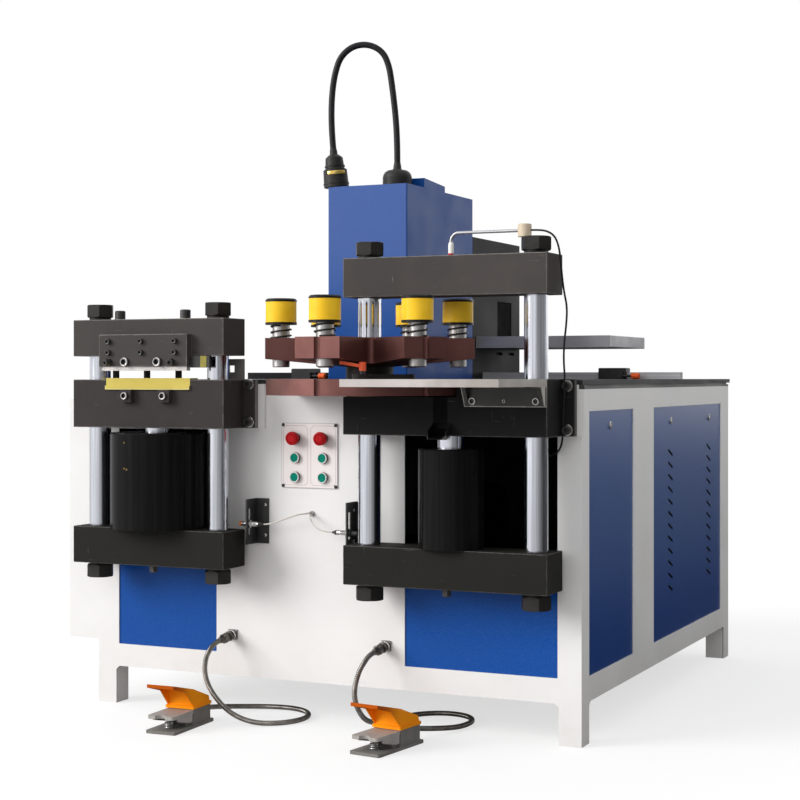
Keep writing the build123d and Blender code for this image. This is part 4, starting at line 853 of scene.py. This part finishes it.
plug_foot = facing(-131, 333, 1464, plug_up)
band_outline = [(33.6, 36), (36.4, 36), (36.7, 37), (36.5, 45), (36.0, 46), (33.2, 46)]
band_start, band_turn, band_steps = -10, 84, 24
bm = bmesh.new()
rows = []
for k in range(band_steps + 1):
    turn = math.radians(band_start + band_turn * k / band_steps)
    out = Vector((math.cos(turn), math.sin(turn), 0))
    rows.append([bm.verts.new(plug_foot @ ((out * r + Vector((0, 0, z))) / 1000)) for r, z in band_outline])
for near, far in zip(rows, rows[1:]):
    for j in range(len(band_outline)):
        after = (j + 1) % len(band_outline)
        bm.faces.new((near[j], far[j], far[after], near[after]))
bm.faces.new(rows[0])
bm.faces.new(rows[-1][::-1])
piece(bm, "plug_band", [band_gold], "machine")
bm = bmesh.new()
for radius, bevel, low, high in ((36.9, 1.5, 9, 15), (29.2, 1.2, 60, 65)):
    lathe(bm, [(radius - bevel, low), (radius, low + 0.8), (radius, high - 0.8), (radius - bevel, high)],
          plug_foot, sides=48)
piece(bm, "plug_rings", [gland_black], "machine")

# Tower cable: a stiff black rubber cable that rises from the gland in a tall loop and drops
# into the plug; a moulded sleeve holds it at either end.
tower_route = [
    (35, 390, 1516), (35, 390, 1560), (34, 389, 1612), (31, 388, 1664), (26, 386, 1714), (20, 384, 1764),
    (13, 382, 1812), (-4, 377, 1854), (-43, 365, 1877), (-87, 351, 1873), (-121, 340, 1844),
    (-136, 336, 1802), (-144, 333.5, 1754), (-147, 332, 1704), (-147, 332, 1654), (-144.6, 333, 1605.3),
    (-140.3, 333, 1560.6)]
flex("tower_flex", tower_route, 9, flex_black, "machine", "tower_cable")
bm = bmesh.new()
for spot, radius in ((facing(35, 390, 1514, up), 13), (facing(-140.0, 333, 1558, plug_up), 12)):
    lathe(bm, [(radius, -1), (radius, 2), (radius - 1, 4), (11, 11), (10, 17), (9.3, 21)], spot, sides=30)
piece(bm, "cable_sleeves", [gland_black], "machine")

# Bending unit: a dark painted steel housing behind the tower, with a ground slab and the
# pushing ram that bends bars against it; the ram is painted near black as the shade in its slot.
housing_grey = Coat(
    "housing_grey", (0.022, 0.022, 0.025), (0.031, 0.031, 0.035), 0.5, bump=0.2,
    scratch=(0.12, 0.12, 0.125), share=0.4, gleam=0.08)
dress(housing_grey, "bender_body")
ground_slab = Coat(
    "ground_slab", (0.42, 0.415, 0.445), (0.34, 0.335, 0.36), 0.42, metal=0.3, scale=2,
    scratch=(0.66, 0.66, 0.67), share=0.6)
# Lighter edges on the slab: partly rubbed, partly a painted highlight.
ground_slab.lay(edge_wear_and_highlight(ground_slab.tree, *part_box("bender_slab"), 0.003), (0.45, 0.45, 0.46))
dress(ground_slab, "bender_slab")
# Painted shade: the ram is near black for the shade in its slot.
ram_in_shade = Coat(
    "ram_in_shade", (0.006, 0.006, 0.006), (0.009, 0.009, 0.0095), 0.7, scale=4, bump=0.15,
    scratch=(0.04, 0.04, 0.04), share=0.5, gleam=0.03)
dress(ram_in_shade, "bender_ram")

# Gauge stops: blackened steel blocks that slide along the gauge bars, each held by the screw of
# a moulded orange knob at its right end.
left_knob, left_knob_end, right_knob, knob_edge = -0.4155, -0.301, 0.6335, 0.001
stop_steel = Coat(
    "stop_steel", (0.020, 0.020, 0.021), (0.030, 0.030, 0.031), 0.42, scale=4, bump=0.15,
    scratch=(0.2, 0.2, 0.2), share=0.5, gleam=0.2)
along = parts(where_in(stop_steel.tree))["X"]
knob = both(fade(along, left_knob - knob_edge, left_knob),
            fade(along, left_knob_end + knob_edge, left_knob_end))
knob = sums("MAXIMUM", knob, fade(along, right_knob - knob_edge, right_knob))
stop_steel.lay(knob, (0.80, 0.11, 0.020))
dress(stop_steel, "left_stop", "right_stop")

# Button panel: an anodised aluminium plate on four corner screws, with two engraved frames;
# plated bezels hold the green buttons and black collars the red ones.
panel_x, panel_z, column_off = 0.001, 0.711, 0.0417
frame_half_width, frame_half_height, frame_corner = 0.0370, 0.0795, 0.008
collar_face, bezel_face, bezel_top = -0.5310, -0.5370, 0.733
engraved, rim_dark = 0.42, 0.5
panel_plate = Coat(
    "panel_plate", (0.88, 0.82, 0.805), (0.91, 0.85, 0.835), 0.45, scale=3, bump=0.06,
    scratch=(0.88, 0.86, 0.85), share=0.3)
spread = parts(where_in(panel_plate.tree))
beyond_x = off(off(spread["X"], panel_x), column_off)
beyond_x = sums("SUBTRACT", beyond_x, frame_half_width)
beyond_z = sums("SUBTRACT", off(spread["Z"], panel_z), frame_half_height)
corner_cut = sums("ADD", sums("ADD", beyond_x, beyond_z), frame_corner)
corner_cut = sums("MULTIPLY", corner_cut, math.sqrt(0.5))
frame_line = sums("MAXIMUM", sums("MAXIMUM", beyond_x, beyond_z), corner_cut)
frame_line = fade(sums("ABSOLUTE", frame_line), 0.0011, 0.0005)
low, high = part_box("button_panel")
from_sides = [sums("MINIMUM", sums("SUBTRACT", spread[axis], low[axis]),
                   sums("SUBTRACT", high[axis], spread[axis])) for axis in (0, 2)]
rim = fade(sums("MINIMUM", *from_sides), 0.0020, 0.0012)
lines = sums("MAXIMUM", sums("MULTIPLY", frame_line, engraved), sums("MULTIPLY", rim, rim_dark))
panel_plate.lay(lines, (0.16, 0.145, 0.16))
panel_plate.lay(fade(spread["Y"], collar_face + 0.0004, collar_face), (0.016, 0.016, 0.018))
bezel = both(fade(spread["Y"], bezel_face + 0.0004, bezel_face),
             fade(spread["Z"], bezel_top + 0.001, bezel_top))
panel_plate.lay(bezel, (0.72, 0.71, 0.70))
panel_plate.feed("Metallic", sums("MULTIPLY", bezel, 0.8))
dress(panel_plate, "button_panel")
bm = bmesh.new()
for x in (-121, 37):
    for z in (629.5, 792.5):
        lathe(bm, [(4.8, -0.3), (4.8, 1.2), (3.6, 2.4), (2.0, 2.5), (1.7, 1.4, 1, 6)],
              facing(x, -3, z, front), sides=24)
piece(bm, "panel_screws", [screw_black, shadow_black], "machine")

# Push buttons: moulded gloss plastic, flush green ones to start and red mushroom heads to stop,
# each red head with a darker ring painted round its middle as the painted shade of a groove.
shaded_ring_radius = 0.0115
start_green = Coat(
    "start_green", (0.004, 0.215, 0.150), (0.006, 0.240, 0.170), 0.32, scale=12, bump=0.05,
    scratch=(0.1, 0.36, 0.28), share=0.2, gleam=0.04)
dress(start_green, *[f"start_button_{k}" for k in range(1, 5)])
stop_red = Coat(
    "stop_red", (0.46, 0.010, 0.014), (0.51, 0.013, 0.016), 0.34, scale=8, bump=0.05,
    scratch=(0.6, 0.12, 0.12), share=0.3, gleam=0.06)
spread = parts(where_in(stop_red.tree))
low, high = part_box("stop_button_1")
off_x = sums("SUBTRACT", off(spread["X"], panel_x), column_off)
off_z = sums("SUBTRACT", spread["Z"], (low[2] + high[2]) / 2)
# Painted shade: a dark red ring round the middle of each stop head.
groove = fade(off(span(off_x, off_z), shaded_ring_radius), 0.0020, 0.0008)
stop_red.lay(groove, (0.20, 0.003, 0.005))
dress(stop_red, "stop_button_1", "stop_button_2")

# Sensors: threaded proximity sensors through slotted black angle brackets, each locked by two
# plated nuts; the left one ends in an orange sensing face.
bracket_black = Coat(
    "bracket_black", (0.014, 0.014, 0.015), (0.022, 0.022, 0.023), 0.44, scale=5, bump=0.12,
    scratch=(0.12, 0.12, 0.12), share=0.5)
dress(bracket_black, "sensors")
tip_orange = Coat("tip_orange", (0.80, 0.20, 0.02), (0.72, 0.16, 0.015), 0.4, scale=14, bump=0.05)
sensor_y, right_way = -42, (1, 0, 0)
lock_nut = [(10.6, 0.3, 0, 6), (10.6, 5.2, 0, 6), (9.6, 5.6)]
thread_start, thread_pitch, thread_steps, crest, trough = 6.4, 1.2, 14, 6.75, 6.2
bm = bmesh.new()
for x, z, way, tail in ((-202, 526, 1, 34), (94, 513, -1, 38)):
    thread = [(trough if step % 2 else crest, thread_start + step * thread_pitch)
              for step in range(thread_steps)]
    boot = [(6.1, tail - 11), (6.9, tail - 10.6), (6.9, tail - 6), (6.4, tail - 5.6, 1), (6.4, tail - 0.8, 1),
            (4.4, tail + 0.4, 1), (3.2, tail + 6, 1), (2.4, tail + 9, 1)]
    lathe(bm, [*lock_nut, (trough, 5.8), *thread, *boot], facing(x, sensor_y, z, (way, 0, 0)), sides=24)
lathe(bm, [*lock_nut, (6.4, 5.8), (6.4, 19.5), (6.2, 19.8, 2), (6.2, 25.8, 2), (5.2, 26.4, 2)],
      facing(-206, sensor_y, 526, (-1, 0, 0)), sides=24)
for x, y, z, way in ((-175, -4, 576, front), (-175, -4, 494, front), (98, -17, 570, right_way),
                     (98, -17, 490.5, right_way)):
    lathe(bm, [(4.6, -0.3), (4.6, 1.4), (3.4, 2.8), (1.7, 3.0), (1.5, 1.6, 1, 6)],
          facing(x, y, z, way), sides=24)
piece(bm, "sensor_nuts", [rim_steel, shadow_black, tip_orange], "machine")

# Sensor leads: thin pale grey cables with a moulded sheath, hanging from both sensors to one
# rubber grommet in the front sheet.
lead_grey = Coat(
    "lead_grey", (0.58, 0.55, 0.50), (0.66, 0.63, 0.58), 0.5, scale=10, scratch=(0.4, 0.38, 0.34),
    share=0.4)
left_lead = [
    (-167.6, -42, 526), (-153.6, -42, 526), (-134, -41, 530), (-112, -40, 537), (-90, -38, 545),
    (-70, -35, 552), (-52, -31, 556.5), (-37, -21, 558), (-37, -5, 558)]
right_lead = [
    (-32, -5, 554), (-32, -21, 554), (-23, -33, 543), (-9, -39, 528), (9, -42, 517), (35.6, -42, 513),
    (55.6, -42, 513)]
for name, lead, length in (("left_lead", left_lead, 0.154), ("right_lead", right_lead, 0.123)):
    flex(name, lead, 2, lead_grey, "machine", "sensor_cables")

# Conduit sockets: die-cast angle sockets bolted low on the front sheet, and the lead grommet;
# a dark plated coupling with two nuts joins each conduit to its socket.
socket_cast = Coat(
    "socket_cast", (0.20, 0.19, 0.18), (0.30, 0.29, 0.27), 0.36, metal=0.8, scale=7, bump=0.3,
    scratch=(0.55, 0.53, 0.5), share=0.6)
dress(socket_cast, "cable_sockets")
coupling_dark = Coat(
    "coupling_dark", (0.10, 0.090, 0.080), (0.18, 0.165, 0.15), 0.32, metal=0.9, scale=12, bump=0.2,
    scratch=(0.5, 0.48, 0.45), share=0.7)
socket_face, socket_z, bolt_off, coupling_way = -4, 218, 10.5, (-0.2354, -0.9495, -0.2079)
for side, x in (("left", -278), ("right", 185)):
    bm = bmesh.new()
    lathe(bm, [(13.6, 1.2, 1), (13.6, 4.6, 1), (12.6, 5.6, 1), (9.6, 5.8), (9.6, 9.6), (12.4, 10, 0, 6),
               (12.4, 17.6, 0, 6), (9.8, 18), (9.8, 21), (11.6, 21.4), (12.2, 23), (11.6, 24.6), (9.8, 25),
               (9.8, 27), (13.2, 27.4, 0, 8), (13.2, 37, 0, 8), (12, 38.4), (11.4, 41), (9.4, 44), (8.2, 50),
               (7.2, 50.4)], facing(x, socket_face, socket_z, coupling_way), sides=48)
    for dx in (-bolt_off, bolt_off):
        for dz in (-bolt_off, bolt_off):
            lathe(bm, [(2.2, -0.3, 1), (2.2, 0.8, 1), (1.4, 1.6, 1)],
                  facing(x + dx, socket_face, socket_z + dz, front), sides=14)
    piece(bm, side + "_coupling", [coupling_dark, rim_steel], "machine")

# Pedal conduits: flexible stripwound steel conduit with an oily dark skin; it leaves the socket,
# drops to the floor, makes one wide turn under the cabinet's edge and enters the pedal's heel.
conduit_skin = Coat(
    "conduit_skin", (0.20, 0.185, 0.17), (0.30, 0.28, 0.26), 0.20, metal=0.95, scale=9,
    scratch=(0.5, 0.47, 0.44), share=0.6)
left_run = [
    (-287.5, -42, 209.7), (-293.6, -66.6, 204.3), (-297, -90, 191), (-298, -109.5, 170.5),
    (-295, -122, 145.5), (-288, -126.5, 116), (-273.5, -126, 87), (-253.5, -121, 60), (-227, -120, 37.5),
    (-196, -118.5, 21.5), (-163, -114.5, 12), (-132, -107, 8), (-99, -90, 7.5), (-74, -63, 7.5),
    (-60, -28, 7.5), (-58, 9, 7.5), (-68, 45, 7.5), (-91, 77, 7.5), (-124, 99, 7.5), (-163, 109, 7.5),
    (-204, 105, 7.5), (-241, 88, 8.5), (-271, 60, 11), (-293, 25, 15.5), (-308, -13, 20.5),
    (-317, -49, 25.2), (-324.2, -81.6, 28.5), (-323.2, -111.6, 28.5)]
right_run = [
    (175.5, -42, 209.7), (169.4, -66.6, 204.3), (166, -89, 191), (159.5, -108, 169.5), (154, -118.5, 142),
    (149, -118.5, 111), (149, -109.5, 82), (151, -92, 58), (150.5, -64, 36), (151.5, -28, 20.5),
    (154, 11, 12), (158, 52, 8), (165, 92, 7.5), (175, 131, 7.5), (190, 166, 7.5), (212, 196, 7.5),
    (249, 219, 7.5), (290, 223, 7.5), (328, 208, 7.5), (354, 179, 7.5), (366, 146, 7.5),
    (366.5, 106, 7.5), (360, 67, 8.5), (347, 28, 12), (332, -11, 17), (316, -47, 22),
    (298.8, -82.7, 28.5), (294.6, -112.4, 28.5)]
conduit_radius, rib_pitch, rib_depth = 0.007, 0.0052, 0.0009
rib_profile = (1, 0.35, 0, 0, 0.35)
for name, run, length in (("left_conduit", left_run, 0.949), ("right_conduit", right_run, 0.982)):
    guide = smooth_line(name + "_line", run, 40)
    bpy.context.view_layer.update()
    line_mesh = bpy.data.meshes.new_from_object(guide.evaluated_get(bpy.context.evaluated_depsgraph_get()))
    line = [vertex.co.copy() for vertex in line_mesh.vertices]
    bpy.data.meshes.remove(line_mesh)
    bpy.data.objects.remove(guide)
    travelled = [0.0]
    for start, end in zip(line, line[1:]):
        travelled.append(travelled[-1] + (end - start).length)
    steps = int(travelled[-1] / rib_pitch) * len(rib_profile)
    centres, radii = [], []
    k = 0
    for step in range(steps + 1):
        at = travelled[-1] * step / steps
        while k < len(line) - 2 and travelled[k + 1] < at:
            k += 1
        share = (at - travelled[k]) / (travelled[k + 1] - travelled[k])
        centres.append(line[k].lerp(line[k + 1], min(max(share, 0.0), 1.0)))
        radii.append(conduit_radius - rib_depth * rib_profile[step % len(rib_profile)])
    bm = bmesh.new()
    wire(bm, centres, radii, sides=16)
    conduit = piece(bm, name, [conduit_skin], "machine")
    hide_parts("pedal_conduits")

# Foot pedals: grey cast bases with a switch house, a hinged treadle and an orange moulded hood
# that keeps off falling tools; the bases are painted darker than the treadles as painted shade,
# and the hood's visor is painted darker towards the toe as painted shade.
visor_root, visor_toe = -0.725, -0.815
# The bases take a darker copy of the treadles' grey, which holds painted shade on their sides.
pedal_shaded_grey = Coat(
    "pedal_shaded_grey", (0.175, 0.167, 0.152), (0.215, 0.205, 0.19), 0.5, scale=5, bump=0.35,
    scratch=(0.55, 0.51, 0.49), share=0.5, gleam=0.3)
dress(pedal_shaded_grey, "pedal_bases")
treadle_grey = Coat(
    "treadle_grey", (0.36, 0.335, 0.315), (0.42, 0.395, 0.37), 0.5, scale=5, bump=0.35,
    scratch=(0.55, 0.52, 0.49), share=0.5, gleam=0.3)
dress(treadle_grey, "left_treadle", "right_treadle")
hood_orange = Coat(
    "hood_orange", (0.99, 0.315, 0.004), (1.0, 0.340, 0.006), 0.42, scale=5, bump=0.12,
    scratch=(0.9, 0.45, 0.15), share=0.4, gleam=0.08)
# Painted shade: the visor is painted darker towards the toe.
visor_shade = fade(parts(where_in(hood_orange.tree))["Y"], visor_root, visor_toe)
hood_orange.lay(visor_shade, (0.40, 0.060, 0.002), 0.9)
dress(hood_orange, "pedal_hoods")

# Treadle springs: bright plated compression springs round the stop screw between base and
# treadle.
spring_bright = Coat(
    "spring_bright", (0.70, 0.70, 0.71), (0.55, 0.55, 0.56), 0.14, metal=1.0, scale=10, bump=0.05)
screw_ahead, coil_radius, coil_wire, coil_turns, coil_low, coil_high = 57.5, 10.5, 1.6, 5.5, 10.0, 36.2
for side, x, y, angle in (("left", -320, -202, 2), ("right", 282, -202, -8)):
    turn = math.radians(angle)
    bm = bmesh.new()
    line = helix(x + screw_ahead * math.sin(turn), y - screw_ahead * math.cos(turn), coil_low, coil_high,
                 coil_radius, coil_turns, 0, steps=144, closed=0.08)
    wire(bm, line, coil_wire / 1000, sides=10)
    coil = piece(bm, f"{side}_treadle_spring", [spring_bright], "machine")
    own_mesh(coil)
